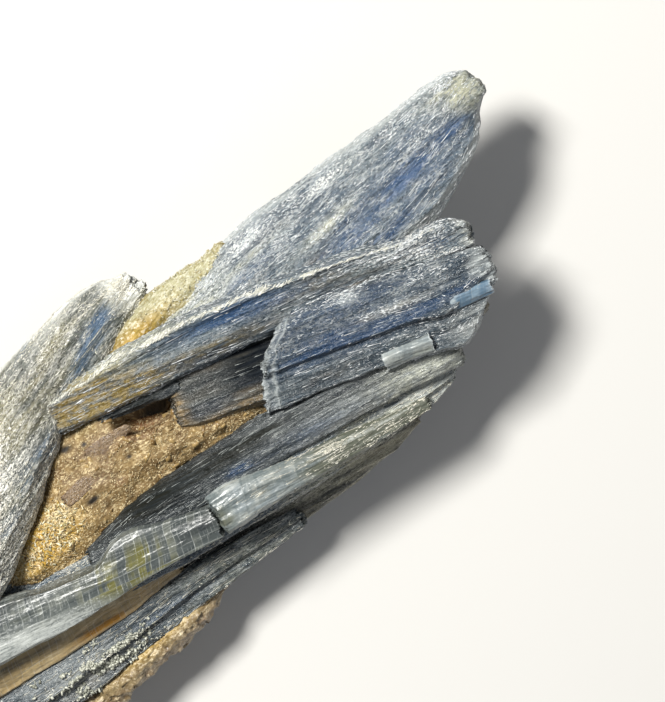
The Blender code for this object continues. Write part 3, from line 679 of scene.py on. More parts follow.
yellowGrains = stainedGrains("limoniteCrust", {
    "body": "#8c7b38", "shade": "#725f28", "tints": {"pale": "#a9a685", "gold": "#b08a14"}, "paintedGlint": 0.6,
    "glint": "#f2efdf", "pit": "#66501a", "rough": 0.4})
honeyGrains = stainedGrains("honeyQuartzCrust", {
    "body": "#988662", "shade": "#6f5c40", "tints": {"gold": "#ab8f4e", "rose": "#9d8b7c"}, "paintedGlint": 0.7,
    "glint": "#e0d1ae", "pit": "#54401f", "rough": 0.2})
whiteSplinters = shardMaterial("cleavedWhiteSplinters", "#b4b4a6", "#fbfaf2", 0.35, kyaniteIor)
silverStrands = shardMaterial("silveryKyaniteStrands", "#b9c2c6", "#ffffff", 0.3, kyaniteIor)
creamStrands = shardMaterial("creamyKyaniteStrands", "#bab7a6", "#fffcf0", 0.3, kyaniteIor)
greyStrands = shardMaterial("greyKyaniteStrands", "#6d7476", "#c8cdc9", 0.35, kyaniteIor)
tanFlakes = shardMaterial("stainedMicaFlakes", "#80612f", "#ffefc4", 0.45, micaIor)
brownPlates = shardMaterial("brownMicaPlates", "#7b6038", "#b59b68", 0.35, micaIor)
goldGrains = shardMaterial("goldenQuartzGrains", "#a88420", "#f6eccb", 0.3, quartzIor)
paleGrains = shardMaterial("paleQuartzGrains", "#a3955a", "#d6d5c4", 0.3, quartzIor)
greyGrains = shardMaterial("greyGreenQuartzGrains", "#7d7f72", "#d3d4c6", 0.3, quartzIor)
print("materials made")


def bladeRelief(spec, grid):
    # long cleavage terraces, fibres between them, and flakes of 0.9 mm by 0.3 mm, in millimetres
    along, arc, seed = grid["along"], grid["arc"], spec["seed"]
    bend = 0.35 * latticeNoise(along / 6, arc / 2.5, seed + 1)
    steps = terraces(fibreNoise(along, arc + bend, 17, 2.0, seed + 2, 3) * 0.6, 5)
    cuts = terraces(fibreNoise(along, arc + bend, 5, 0.9, seed + 6, 2) * 0.6, 3)
    fibres = fibreNoise(along, arc, 4.5, 0.36, seed + 10, 3)
    flakes = plateNoise(along / 0.95, (arc + bend) / 0.3, seed + 20) * 0.6
    flakes = flakes + plateNoise(along / 2.6, (arc + bend) / 0.7, seed + 30)
    return (spec.get("steps", 0.3) * steps + spec.get("cuts", 0.1) * cuts + spec.get("fibres", 0.035) * fibres
            + spec.get("flakes", 0.04) * flakes)


def bladeFields(spec, grid, relief):
    # named spots; relief crests and rims whiter, partly as painted highlight; creases darker as painted
    # shade; streaks break the spots up
    along, across, arc, seed = grid["along"], grid["across"], grid["arc"], spec["seed"]
    streak = 0.5 + 0.7 * fibreNoise(along, arc, 6, 0.5, seed + 70, 3)
    crest = crestField(relief) / 0.03
    patchy = np.clip(0.55 + streak, 0.2, 1.4)
    fields = {key: spotField(spec.get(key, []), along, across) * patchy * grid["onTop"]
              for key in ("blue", "stain", "cream", "green")}
    fields["glassy"] = spotField(spec.get("glassy", []), along, across) * grid["onTop"]
    # whiter rims along the edges and on the crests of the relief: partly frosted, worn flakes, partly painted
    # highlight
    rim = grid["edge"] * spec.get("rim", 0.35)
    ragged = 0.05 + 0.03 * latticeNoise(along / 1.4, 0 * along, seed + 80)
    rim = rim + spec.get("crest", 0) * np.exp(-(((grid["share"] - 0.88) / ragged) ** 2)) * grid["onTop"]
    fields["frostAndHighlight"] = (spotField(spec.get("frostAndHighlight", []), along, across) + rim + 0.35 * np.clip(crest, 0, 1)
                       + 0.25 * np.clip(streak, 0, 1) * spec.get("silvery", 0.6))
    spots = spotField(spec.get("pale", []), along, across)
    # painted shade in the creases of the relief; the dark spots are partly painted shadows of blades that
    # stand above, partly darker zones of the crystal
    grooveShade = 0.35 * np.clip(-crest - 0.2, 0, 1) * np.clip(1 - spots, 0, 1)
    fields["dark"] = spotField(spec.get("dark", []), along, across) + grooveShade
    pale = spots * smoothStep(-0.5, 0.6, streak) * grid["onTop"]
    # smooth pale rims along the left and right edges; the left one, on the edge that faces the lamp, is a
    # painted highlight
    share = grid["share"]
    pale = pale + spec.get("paleRim", 0) * smoothStep(0.86, 0.97, share) * smoothStep(-0.2, 0.3, streak)
    pale = pale + spec.get("paleRight", 0) * smoothStep(0.09, 0.03, share) * grid["onTop"]
    # white outline of a small chip, along its sides and ends
    border = np.maximum(smoothStep(0.13, 0.04, np.minimum(share, 1 - share)),
                        smoothStep(0.28, 0.05, np.minimum(grid["fromRoot"], grid["fromTip"])))
    pale = pale + spec.get("outline", 0) * border * smoothStep(-0.7, 0.2, streak)
    # frayed white tip of a blade; on the left blade and its hook it is also painted light over the tip's side
    # that turns from the lamp
    tipReach, tipPale = spec.get("paleTip", (1, 0))
    frayed = 0.45 + 0.75 * smoothStep(-0.5, 0.5, fibreNoise(along, arc, 1.1, 0.28, seed + 86, 2))
    fromTip = grid["fromTip"] + 0.25 * tipReach * fibreNoise(along, arc, 2.2, 0.5, seed + 82, 3)
    pale = pale + tipPale * smoothStep(tipReach, 0, fromTip) * grid["onTop"] * frayed
    # a clear plate at the broken root, with two bright edges that are painted highlights
    ledge, ledgeReach = spec.get("rootLedge", (0, 0))
    if ledge:
        fromRoot = grid["fromRoot"] + 0.3 * fibreNoise(across, 0 * across, 1.6, 1, seed + 81, 3)
        pale = pale + 0.12 * smoothStep(ledgeReach + 0.05, ledgeReach - 0.1, fromRoot)
        brightEdges = np.exp(-((fromRoot / 0.2) ** 2)) + np.exp(-(((fromRoot - ledgeReach) / 0.13) ** 2))
        pale = pale + 0.6 * brightEdges * grid["onTop"]
    fields["pale"] = pale
    return fields


def makeBlade(name, spec):
    # the loft of one crystal with its cleavage relief, the fields of its colours, and the piece itself
    grid = loftGrid(spec)
    relief = bladeRelief(spec, grid)
    fields = bladeFields(spec, grid, relief)
    makePiece(name, grid, relief, fields, spec)
    return grid, relief, fields


def sameGrain(spec):
    # the root and the grain directions of another crystal, for a fragment that lies on it
    return {key: spec[key] for key in ("root", "heading", "pitch", "roll")}


upperBlade = {
    "node": "upper_blade", "slot": "kyanite", "material": silverKyanite, "root": (-6.9, 5.8, 12.2),
    "heading": 9, "pitch": 1.2, "roll": -9, "top": domedTop, "columns": 240, "seed": 100,
    "stations": [(5, -2.6, 3.6, 4.4), (8, -4, 4.5, 5.8), (12, -5, 4.8, 6.4), (20, -6.3, 5.4, 6.8),
                 (25, -7.3, 5.3, 6.6), (29, -8, 4.4, 6.2), (37.5, -8.4, 3.3, 5.6), (42, -7.3, 2.7, 5),
                 (46, -5.6, 2.2, 4.2), (48.3, -3.4, 1.7, 3.2), (49.8, -2.2, 0.6, 1.8)], "rootSlant": -0.5,
    "rootJag": 0.5, "tipJag": 0.15, "rim": 0.7, "paleRim": 0.8, "paleRight": 0.8, "silvery": 0.7,
    "glassy": [(29, 4.6, 3, 0.5, 0.7), (36, 3.0, 4, 0.4, 0.5), (48.4, -1, 1.6, 1.6, 0.9),
               (38.4, -3.4, 2, 0.5, 0.6), (20, 2, 5, 0.7, 0.4), (26, 0.2, 4, 0.6, 0.3)],
    "blue": [(38.4, -3.4, 2.6, 0.6, 1.2), (44.7, -3.1, 2.2, 0.6, 0.9), (33.8, -6.2, 3.5, 0.6, 0.9),
             (37, -4, 9, 2.4, 0.5), (29, -3.6, 6, 1.0, 0.5), (19.2, 0.6, 4.5, 0.8, 0.5),
             (41, -0.5, 4, 0.6, 0.35), (24, 3.6, 5, 0.5, 0.3)],
    "frostAndHighlight": [(15, 1, 5, 4, 0.7), (23, 2, 5, 2.5, 0.5), (31.4, 2.0, 2.2, 0.6, 1.2),
              (22.2, 3.3, 1.9, 0.8, 1.2), (29.3, -1.6, 2.6, 0.3, 1.0), (46, 0.6, 4, 0.8, 0.6),
              (41.5, -2.0, 4, 0.35, 0.7), (36, 1.9, 6, 0.9, 0.4)],
    "stain": [(26, -3.2, 2.0, 0.6, 0.35), (17, 4.6, 4, 0.8, 0.4)],
    "cream": [(12, 2, 5, 2.5, 0.8), (48.3, -1.0, 2.0, 1.9, 1.2), (45.5, 0.2, 1.5, 0.6, 0.5),
              (29.3, -1.6, 2.8, 0.5, 0.9), (22, 1.6, 3, 0.4, 0.6)],
}
upper = makeBlade("upperBlade", upperBlade)
leftBlade = {
    "node": "left_blade", "slot": "kyanite", "material": feltedKyanite, "root": (-30.6, 1.6, 13.4),
    "heading": 21, "pitch": -1.5, "roll": -13, "top": domedTop, "columns": 240, "seed": 200,
    "stations": [(-14, -4.6, 4.4, 6), (-3, -6, 6.4, 8.6), (5, -5, 7.6, 9), (12.5, -3.5, 8.4, 8.4),
                 (19.5, -1.6, 8.1, 7.4), (23, -0.5, 7.6, 6.8), (27.5, -1.3, 6.7, 5.8), (31, -1.1, 6, 4.8),
                 (34, -0.7, 4.7, 3.6), (36.2, -0.3, 2.6, 2)], "paleTip": (3, 1.2), "rootSlant": 0.35,
    "rootJag": 0.8, "tipJag": 0.45, "rim": 0.9, "paleRim": 1.4, "silvery": 1.0, "flakes": 0.05,
    "glassy": [(31.8, 1.6, 1.8, 0.6, 0.6), (25, 7.2, 8, 0.5, 0.8), (29.5, 0.4, 3, 0.6, 0.4)],
    "blue": [(31.4, 1.5, 2.0, 0.9, 1.2), (28.6, 0.9, 2.6, 0.7, 1.0), (26, 0.3, 2.8, 0.6, 0.9),
             (24.4, 6.6, 3, 0.7, 0.4), (17.8, -1.3, 2.6, 0.7, 0.6), (13.3, -1.8, 2.6, 0.8, 0.6),
             (8.6, -2.8, 4, 1.0, 0.45)],
    "frostAndHighlight": [(35.4, 2.2, 1.6, 1.8, 1.3), (27, 4, 6, 2.2, 0.4), (12, 3.6, 8, 2.5, 0.5), (7, 1, 9, 5, 1.4)],
    "pale": [(35.2, 2.6, 1.8, 2.4, 1.0), (30, 5.4, 5, 0.8, 0.6), (6, 2, 7, 4, 0.3)],
    "stain": [(19.2, 2.1, 4, 1.6, 0.45), (24, 3, 3, 1, 0.3), (15, 5, 4, 1.2, 0.3)],
}
left = makeBlade("leftBlade", leftBlade)
ridgeBlade = {
    "node": "ridge_blade", "slot": "kyanite", "material": crestedKyanite, "root": (-11, 8.7, 13.9),
    "heading": -11, "pitch": 4, "roll": 6, "top": ridgedTop, "columns": 200, "seed": 300,
    "stations": [(-0.5, -1.5, 2.2, 2.8), (4, -1.5, 3.2, 4), (8, -1.4, 4.2, 5.4), (12, -1.2, 4.5, 6.8),
                 (18, -1.1, 4.9, 7.2), (22, -1, 4.7, 7.4), (28, -0.6, 4.2, 7), (33, 0, 3.8, 6.2),
                 (38.5, -0.4, 2.8, 5.2), (41.5, -0.9, 3, 4.8), (44, -1, 2.9, 4.2), (45, -0.7, 1.6, 3)],
    "paleTip": (1.4, 0.8), "rootJag": 0.4, "tipJag": 0.2, "rim": 0.5, "silvery": 0.35, "crest": 0.35,
    "cream": [(4, 3.0, 5, 1.2, 1.3), (11, 4.2, 5, 0.4, 0.7)],
    "glassy": [(20.2, 3.0, 4.5, 1.0, 1.0), (10.5, 2.6, 3.0, 0.9, 1.0), (15, 2.8, 3, 0.8, 0.8),
               (42, 1.2, 2, 0.8, 0.3)],
    "blue": [(20.2, 2.9, 4.2, 1.0, 1.0), (42, 1.0, 1.8, 0.8, 0.4), (26, 2.4, 3, 0.5, 0.5),
             (15, 2.6, 3, 0.6, 0.3)],
    "frostAndHighlight": [(40.5, 1.2, 3.5, 1.6, 1.5), (38, 1.4, 4, 1.0, 0.7), (42.3, -0.5, 2, 0.3, 1.2),
              (10.5, 3.2, 2.5, 0.4, 0.5), (34, 2.6, 5, 0.6, 0.4)],
    "stain": [(29.5, 2.2, 4, 0.8, 0.35), (33, 0.8, 3, 0.6, 0.25), (15.6, 0.5, 5, 0.8, 0.6),
              (21, 0.6, 4, 0.7, 0.3), (3.4, 0.4, 4.6, 2.2, 2.2), (7.4, 0.2, 4.0, 1.2, 1.8)],
    "dark": [(21, 0.2, 5, 0.9, 0.8), (15, 0, 5, 0.7, 0.6), (26.5, -0.2, 3, 0.6, 0.7)],
}
ridge = makeBlade("ridgeBlade", ridgeBlade)
brokenBlade = {
    "node": "broken_blade", "slot": "kyanite", "material": slateKyanite, "root": (9.5, 1, 15.6),
    "heading": -12, "pitch": 0, "roll": 9, "top": ledgedTop, "columns": 240, "seed": 400,
    "stations": [(0.8, -4.7, 5.4, 5.4), (9, -4.8, 5.5, 5.8), (15.8, -5.4, 4.7, 5.6), (18.5, -6.3, 4.5, 5),
                 (21, -4.2, 4.3, 4.4), (23, -1.5, 3.7, 3.8), (23.8, -0.8, 2.6, 3)], "paleTip": (2.6, 0.9),
    "rootSlant": 0.62, "rootBow": 1.4, "rootLedge": (0.4, 0.9), "rootJag": 0.3, "tipJag": 0.35, "rim": 0.5,
    "silvery": 0.15, "rowStep": 0.12, "paleRight": 0.4,
    "blue": [(3.9, 0, 4.2, 1.1, 1.5), (11.5, -0.5, 2.6, 0.9, 1.4), (15.2, -0.3, 2.8, 0.8, 1.4),
             (7.9, 0.1, 3, 0.8, 1.3), (8, 2.6, 9, 2.4, 0.65), (20, 0.2, 2.5, 0.7, 0.7)],
    "frostAndHighlight": [(11.4, 4.9, 2, 0.6, 1.0), (9.3, 3.7, 1.2, 0.8, 1.0), (13, 1.0, 3.6, 0.4, 1.4),
              (17, 2.6, 3, 1.2, 0.5), (7.3, -4.3, 0.8, 0.3, 1.2), (13.1, -4.4, 3, 0.4, 0.7)],
    "stain": [(11.4, 4.9, 2, 0.6, 0.6), (13, 1.0, 3.6, 0.3, 0.4), (5, -3, 3, 0.8, 0.25),
              (20, -3.6, 2, 1.0, 0.3)], "dark": [(4, 2.2, 3, 0.8, 0.35)],
    "pale": [(20.4, -3.4, 2.6, 1.6, 0.5), (13, 1.0, 3.0, 0.35, 0.35), (9.5, 3.7, 1.0, 0.6, 0.35)],
    "glassy": [(2, -2.6, 5, 2.0, 0.9), (10, -2.4, 5, 1.4, 0.6), (4, -0.2, 3.5, 0.7, 0.7),
               (15.5, -0.7, 3, 0.4, 0.7), (-0.6, 0, 0.8, 4, 0.8)],
}
broken = makeBlade("brokenBlade", brokenBlade)
recessedBlade = {
    "node": "recessed_blade", "slot": "kyanite", "material": duskKyanite, "root": (-1, 3.5, 13.2),
    "heading": -13, "pitch": 0.4, "roll": 8, "top": flatTop, "columns": 180, "seed": 500,
    "stations": [(0.2, -2.6, 3.4, 2.6), (1.2, -3.2, 4.4, 4), (6, -3.3, 6, 4.6), (12, -3.8, 6.2, 4.8),
                 (22, -4.5, 4.6, 4.6), (30, -4.8, 3.8, 4), (33, -3, 2.4, 2.8)], "paleTip": (3, 0.7),
    "rootSlant": 0.1, "rootJag": 0.2, "rim": 0.2, "silvery": 0.25, "steps": 0.22, "rowStep": 0.17,
    # the dark spots paint the shadow that the ridge and broken blades cast on this blade
    "dark": [(9.4, 1.2, 3.4, 2.2, 1.9), (6.4, 3.6, 4.4, 1.1, 1.1), (3, 5.0, 4, 0.8, 0.6)],
    "stain": [(7.4, -2.4, 2.4, 1.0, 1.0), (0.6, -0.4, 0.7, 2.8, 0.9), (4, 3.6, 4, 1.2, 0.4),
              (4, -2.9, 4, 0.5, 0.9)], "frostAndHighlight": [(5.6, 1.8, 5, 0.18, 0.8), (6, -0.4, 5, 0.12, 0.6)],
    "blue": [(3.6, -1.6, 2.5, 0.7, 0.4), (9, -0.4, 2, 0.6, 0.7)], "glassy": [(4, -0.6, 6, 3, 0.8)],
}
recessed = makeBlade("recessedBlade", recessedBlade)
darkBlade = {
    "node": "dark_blade", "slot": "kyanite", "material": nightKyanite, "root": (-12.4, -3.8, 12.4),
    "heading": -7, "pitch": 0.8, "roll": 12, "top": flatTop, "columns": 160, "seed": 600,
    "stations": [(-4, -2, -0.2, 2.4), (2.3, -2.4, 2.1, 4.4), (6, -1.9, 2.6, 5.2), (18.4, -1.3, 3.8, 5.6),
                 (25, -1.2, 4, 5.6), (32.6, -1.1, 3.6, 5), (36.6, -1.3, 2.4, 4), (38.2, -1.6, 0.6, 2.4)],
    "rim": 0.2, "silvery": 0.3, "rowStep": 0.16,
    # the dark band along the upper left edge is a painted shadow of the broken blade and the pocket above it
    "dark": [(10.6, 2.0, 9, 1.2, 1.1), (3.4, 1.2, 5, 1.4, 1.0), (17.3, 2.6, 5, 0.4, 0.8),
             (-1, 0, 4, 1.2, 0.5)],
    "blue": [(13.5, 0.3, 1.4, 0.5, 1.3), (22, 0.4, 5, 0.8, 0.6), (30, 0.2, 4, 0.6, 0.4)],
    "frostAndHighlight": [(24, 1.6, 7, 0.25, 0.7), (18, -0.6, 5, 0.3, 0.5)], "stain": [(27, -0.6, 4, 0.6, 0.3)],
    "cream": [(34, 0.4, 5, 2.6, 0.8)], "pale": [(35, 0.6, 4, 2.6, 0.45), (26, 0.6, 6, 2.2, 0.3)],
}
darkOne = makeBlade("darkBlade", darkBlade)
lowerBlade = {
    "node": "lower_blade", "slot": "kyanite", "material": silverKyanite, "root": (-12.4, -3.8, 11.4),
    "heading": -7, "pitch": 0.6, "roll": 16, "top": ledgedTop, "columns": 150, "seed": 700,
    "stations": [(-14, -6.4, -1, 4.4), (5, -6.3, 0, 5.4), (18, -5.6, 0.6, 5.8), (28, -4.8, 0.6, 5.2),
                 (33, -3.9, 0.4, 4.2), (36.8, -2.6, -0.6, 2.6)], "paleTip": (2, 0.6), "rim": 0.4,
    "silvery": 0.6, "rowStep": 0.17, "frostAndHighlight": [(20.3, -3.2, 7, 0.35, 0.8), (30.8, -2.6, 4, 0.5, 0.6)],
    "dark": [(27, -1.2, 8, 0.25, 0.9), (10, -3, 8, 0.8, 0.4)],
    "stain": [(24.8, -4.6, 1.4, 0.6, 0.8), (30, -3.4, 5, 0.8, 0.35)], "blue": [(16, -2.6, 5, 0.5, 0.4)],
    "cream": [(31, -2.4, 8, 3, 1.1), (22, -4.6, 6, 1.2, 0.6)], "pale": [(33, -2.2, 5, 2.4, 0.7)],
}
lower = makeBlade("lowerBlade", lowerBlade)
edgeBlade = {
    "node": "edge_blade", "slot": "kyanite", "material": duskKyanite, "root": (-12.4, -3.8, 9.4),
    "heading": -7, "pitch": 0.9, "roll": 24, "top": ridgedTop, "columns": 140, "seed": 800,
    "stations": [(-14, -9.8, -5, 3.8), (2, -11, -4.6, 4.6), (11, -9.8, -3.8, 4.8), (20, -8.3, -3.2, 4.4),
                 (28, -6.6, -2.8, 3.8), (31.5, -5, -2.8, 2.4)], "paleTip": (2, 0.6), "rim": 0.5,
    "silvery": 0.4, "rowStep": 0.16, "dark": [(8, -7.4, 10, 1.2, 0.6), (22, -6.6, 6, 0.6, 0.4)],
    "stain": [(16, -8, 10, 1.2, 0.4)], "cream": [(25, -5.4, 8, 3, 0.9), (14, -8.6, 8, 1.2, 0.6)],
    "pale": [(27, -5, 5, 2.4, 0.7)],
}
outer = makeBlade("edgeBlade", edgeBlade)
stubBlade = {
    "node": "stub_blade", "slot": "clear_kyanite", "material": stubKyanite, "root": (-3.7, -8, 14),
    "heading": -7, "pitch": -3, "roll": 4, "top": flatTop, "columns": 130, "seed": 900,
    "stations": [(0.2, -2.3, 1.9, 4.2), (2, -2.1, 2.7, 4.4), (4.4, -1.8, 2.1, 4.2), (9, -1.5, 1.5, 3.6),
                 (16, -1.3, 1.2, 3), (24, -0.9, 0.8, 2)], "rootSlant": -0.1, "rootJag": 0.15, "rim": 0.6,
    "rowStep": 0.12, "steps": 0.2, "green": [(0.6, -0.2, 0.9, 1.6, 0.5)],
    "stain": [(0.4, -0.6, 0.8, 1.6, 0.7), (14, 0, 5, 4, 1.0), (22, 0, 7, 4, 1.5)],
    "frostAndHighlight": [(2.4, 2.0, 1.6, 0.5, 1.4), (6, 1.2, 2.5, 0.3, 0.7), (4, -1.6, 4, 0.25, 0.8),
              (17, 0.4, 7, 0.3, 0.9)],
}
stub = makeBlade("stubBlade", stubBlade)
clearBlade = {
    "node": "clear_blade", "slot": "clear_kyanite", "material": ladderKyanite, "root": (-28.2, -5.5, 12.4),
    "heading": -10, "pitch": 0, "roll": 5, "top": slabTop, "columns": 180, "seed": 1000,
    "stations": [(-17, -3.4, 3.4, 4.6), (-5, -3.2, 3.6, 5.4), (1.4, -2.6, 3.4, 5.6), (6.6, -2.5, 2.5, 5.6),
                 (12, -1.8, 2.4, 5.6), (13.8, -1.5, 4.2, 5.4), (16.5, -1.2, 4.5, 5.2), (19, -0.9, 3.8, 5),
                 (24.3, -0.6, 3.2, 4.8)], "rootSlant": 0.3, "rootJag": 0.6, "rim": 0.7, "steps": 0.2,
    "cuts": 0.05, "fibres": 0.012, "flakes": 0.012,
    "green": [(11.9, 0.7, 2.2, 1.4, 1.3), (16, 1.3, 2.2, 1.2, 1.3), (16, -0.5, 2.8, 0.9, 1.0)],
    "frostAndHighlight": [(18.8, -0.9, 3, 0.25, 1.3), (14, 3.6, 2.6, 0.4, 0.8), (4, -1.4, 8, 1.2, 1.2),
              (-4, 0, 8, 3, 0.8)], "pale": [(3, -1.6, 7, 1.0, 0.3)],
    "dark": [(4, 2.6, 9, 0.5, 0.6), (22.5, 1.6, 2.6, 1.0, 0.8)],
}
makeBlade("clearBlade", clearBlade)
amberBlade = {
    "node": "amber_blade", "slot": "amber_kyanite", "material": amberKyanite, "root": (-30, -9, 9),
    "heading": -4, "pitch": 0, "roll": 14, "top": flatTop, "columns": 110, "seed": 1100,
    "stations": [(-14, -2.2, 3.6, 4.2), (-4, -2, 3.6, 5), (8, -1.7, 3.2, 5.2), (15, -1.2, 3, 4.6),
                 (20, -0.6, 2.4, 3)], "rim": 0.3, "rowStep": 0.17,
    "green": [(10.6, -0.7, 2.6, 0.8, 1.2), (16.7, 0, 2, 0.7, 0.4)], "dark": [(2, 0.8, 6, 0.5, 0.5)],
}
makeBlade("amberBlade", amberBlade)
bottomBlade = {
    "node": "bottom_blade", "slot": "kyanite", "material": slateKyanite, "root": (-27.1, -14.3, 7.2),
    "heading": -2, "pitch": 0, "roll": 12, "top": ledgedTop, "columns": 150, "seed": 1200,
    "stations": [(-16, -2.2, 4.4, 3.8), (-5, -2.2, 5.2, 4.8), (3, -1.7, 5.2, 5.2), (10, -0.9, 4.8, 5.2),
                 (16, -0.1, 4.8, 4.6), (24, 0.6, 4.4, 3.8), (30, 1.2, 3.6, 2.2)], "rootSlant": -0.3,
    "rim": 0.4, "silvery": 0.4, "rowStep": 0.16,
    "blue": [(13.4, 2.3, 2.6, 0.6, 1.1), (16, 1.6, 4, 0.4, 0.9)],
    "frostAndHighlight": [(4.5, 1.4, 4, 1.4, 1.0), (10, 1.4, 5, 0.3, 0.6)],
    "dark": [(20, 2.1, 6, 0.6, 0.4), (9, 3, 4, 0.4, 0.4)], "stain": [(3, 0, 4, 1.5, 0.3)],
    "cream": [(22, 2, 9, 2.4, 0.3)], "pale": [(2, 2, 6, 3, 0.35)],
}
bottom = makeBlade("bottomBlade", bottomBlade)
# cleaved fragments: the hook at the left blade's tip, and two clear chips on the broken blade
chips = {
    "leftHook": {
        **sameGrain(leftBlade), "node": "left_blade", "slot": "kyanite", "material": feltedKyanite,
        "top": flatTop, "columns": 70,
        "stations": [(34.6, 0, 1.9, 2.4), (35.8, -0.3, 1.5, 1.8), (36.8, 0, 1.1, 1.1)], "seed": 1900,
        # the pale tip and frost whiten the whole hook: white fibres, and painted light over its side that
        # turns from the lamp
        "frostAndHighlight": [(36, 0.8, 2, 2, 1.4)], "paleTip": (6, 1.5), "steps": 0.1, "flakes": 0.04, "rowStep": 0.06,
        "bulge": 0.1, "rootJag": 0.1, "tipJag": 0.3, "notch": 0.3, "softness": 0.2},
    "stepChip": {
        **sameGrain(brokenBlade), "node": "broken_blade", "slot": "clear_kyanite", "material": stubKyanite,
        "top": flatTop, "columns": 110,
        "stations": [(10.4, -5, -2.6, 5.8), (12.4, -5, -2.5, 5.8), (15.6, -5, -2.5, 5.7)], "seed": 1910,
        "rowStep": 0.08, "green": [(13, -4.4, 3, 0.4, 0.4)],
        "frostAndHighlight": [(10.7, -3.7, 0.3, 1.2, 1.2), (13, -2.7, 3, 0.2, 1.2), (13.4, -4.9, 2.4, 0.2, 1.0),
                  (12.1, -3.6, 0.15, 1.2, 1.0)], "steps": 0.3, "cuts": 0.16, "bulge": 0.1, "rootJag": 0.1,
        "tipJag": 0.15, "softness": 0.2, "rim": 1.6, "outline": 0.8, "pale": [(13, -3.8, 3, 1.2, 0.35)]},
    "tipChip": {
        **sameGrain(brokenBlade), "node": "broken_blade", "slot": "clear_kyanite", "material": chipKyanite,
        "top": flatTop, "columns": 90,
        "stations": [(18.8, -2, 0.2, 5.2), (20.8, -2, 0.2, 4.9), (23.2, -1.9, -0.1, 4.3)], "seed": 1920,
        "rowStep": 0.08, "rim": 1.6, "outline": 0.5, "blue": [(21, -0.6, 1.8, 0.4, 0.8)],
        "frostAndHighlight": [(19.1, -1, 0.3, 1, 1.0), (21, -0.1, 2, 0.2, 1.0)], "steps": 0.1, "bulge": 0.1,
        "rootJag": 0.1, "tipJag": 0.12, "softness": 0.2},
}
for pieceName, spec in chips.items():
    makeBlade(pieceName, spec)
# the dark sliver of blade over the pit; its dark spot is painted shade
pitWedge = {
    "slot": "kyanite", "material": nightKyanite, "root": (-7.6, 6.3, 13.9), "heading": -6, "pitch": 3,
    "roll": -26, "top": ridgedTop, "columns": 80, "seed": 1930,
    "stations": [(0, -0.3, 0.3, 0.9), (3, -0.9, 0.6, 1.6), (6, -1.3, 0.8, 2.1), (8.6, -1.5, 0.9, 2.4)],
    "steps": 0.15, "dark": [(5, -0.6, 5, 0.9, 1.1)], "frostAndHighlight": [(4, 0.5, 4, 0.15, 0.8)], "rootJag": 0.2,
    "rowStep": 0.1,
}
makeBlade("pitWedge", pitWedge)
# the blades that carry the rest, hidden from above: they stand on their cleaved undersides
backBlade = {"slot": "kyanite", "material": silverKyanite, "columns": 110, "standing": True, "rowStep": 0.3,
             "silvery": 0.5}
backBlades = {
    "backBladeMiddle": {
        **backBlade, "node": "back_blade_middle", "root": (-30, -2, 0), "heading": 3, "top": flatTop,
        "seed": 1300,
        "stations": [(-13.5, -4.6, 4.4, 8), (-4, -6.4, 6.2, 10.6), (15, -7, 7, 11.4), (35, -5.6, 6, 11),
                     (45, -4.4, 4.6, 8), (51, -2.6, 2.8, 5)], "rootSlant": 0.4, "rootJag": 0.8,
        "stain": [(0, 0, 10, 4, 0.3)]},
    "backBladeLeft": {
        **backBlade, "node": "back_blade_left", "root": (-30, 3, 0), "heading": 10.5, "top": domedTop,
        "seed": 1400,
        "stations": [(-11, -3, 3, 8), (0, -4, 5.4, 11), (15, -5, 6.6, 11.4), (28, -4.5, 5.4, 9.6),
                     (42, -3.5, 3, 8.4), (50, -2, 1.4, 5)], "rootSlant": 0.3, "rootJag": 0.8,
        "stain": [(20, 3, 10, 3, 0.4)]},
    "backBladeRight": {
        **backBlade, "node": "back_blade_right", "root": (-22, -11, 0), "heading": 0, "top": domedTop,
        "seed": 1500,
        "stations": [(-20, -3.4, 3, 4), (-10, -5.2, 4.4, 5.6), (5, -4.2, 5, 6.4), (20, -3.2, 5, 7),
                     (32, -1.4, 4.4, 5), (38, 0.4, 3.4, 3)], "rootSlant": -0.35, "rootJag": 0.6},
}
for pieceName, spec in backBlades.items():
    makeBlade(pieceName, spec)
print("blades made")


def crumblyRelief(spec, grid):
    # lumps of about 2.5 mm, faceted nodules of the piece's own size and flakes of 0.35 mm, in millimetres
    along, arc, seed = grid["along"], grid["arc"], spec["seed"]
    lumps = fibreNoise(along, arc, 2.8, 2.0, seed + 1, 2) * spec["lumps"]
    nodules = plateNoise(along / spec["nodule"], arc / spec["nodule"] * 1.2, seed + 2) * spec["nodules"]
    flakes = plateNoise(along / 0.38, arc / 0.3, seed + 3) * spec["flakes"]
    return lumps + nodules + flakes


def makeFilling(name, spec, dip=None):
    # the loft of matrix or crust with its crumbly relief, which may have a pit taken out of it
    grid = loftGrid(spec)
    relief = crumblyRelief(spec, grid)
    if dip is not None:
        relief = relief - dip(grid) * grid["onTop"]
    crest = crestField(relief) / 0.06
    fields = {key: spotField(spec.get(key, []), grid["along"], grid["across"]) * grid["onTop"]
              for key in ("gold", "olive", "plum", "pale", "rose", "amber", "dark")}
    # painted shade in the creases of the relief
    fields["dark"] = fields["dark"] + 0.3 * np.clip(-crest - 0.3, 0, 1)
    makePiece(name, grid, relief, fields, spec)
    return grid, relief, fields


def pocketDip(grid):
    # the pit is an oval with steep sides, 6.2 mm by 3.4 mm and 3.2 mm deep
    turn = math.radians(-8)
    offX, offY = grid["along"] - 21.4, grid["across"] - 5.7
    x = offX * math.cos(turn) + offY * math.sin(turn)
    y = -offX * math.sin(turn) + offY * math.cos(turn)
    return 3.2 * smoothStep(1.25, 0.7, np.sqrt((x / 3.1) ** 2 + (y / 1.7) ** 2))


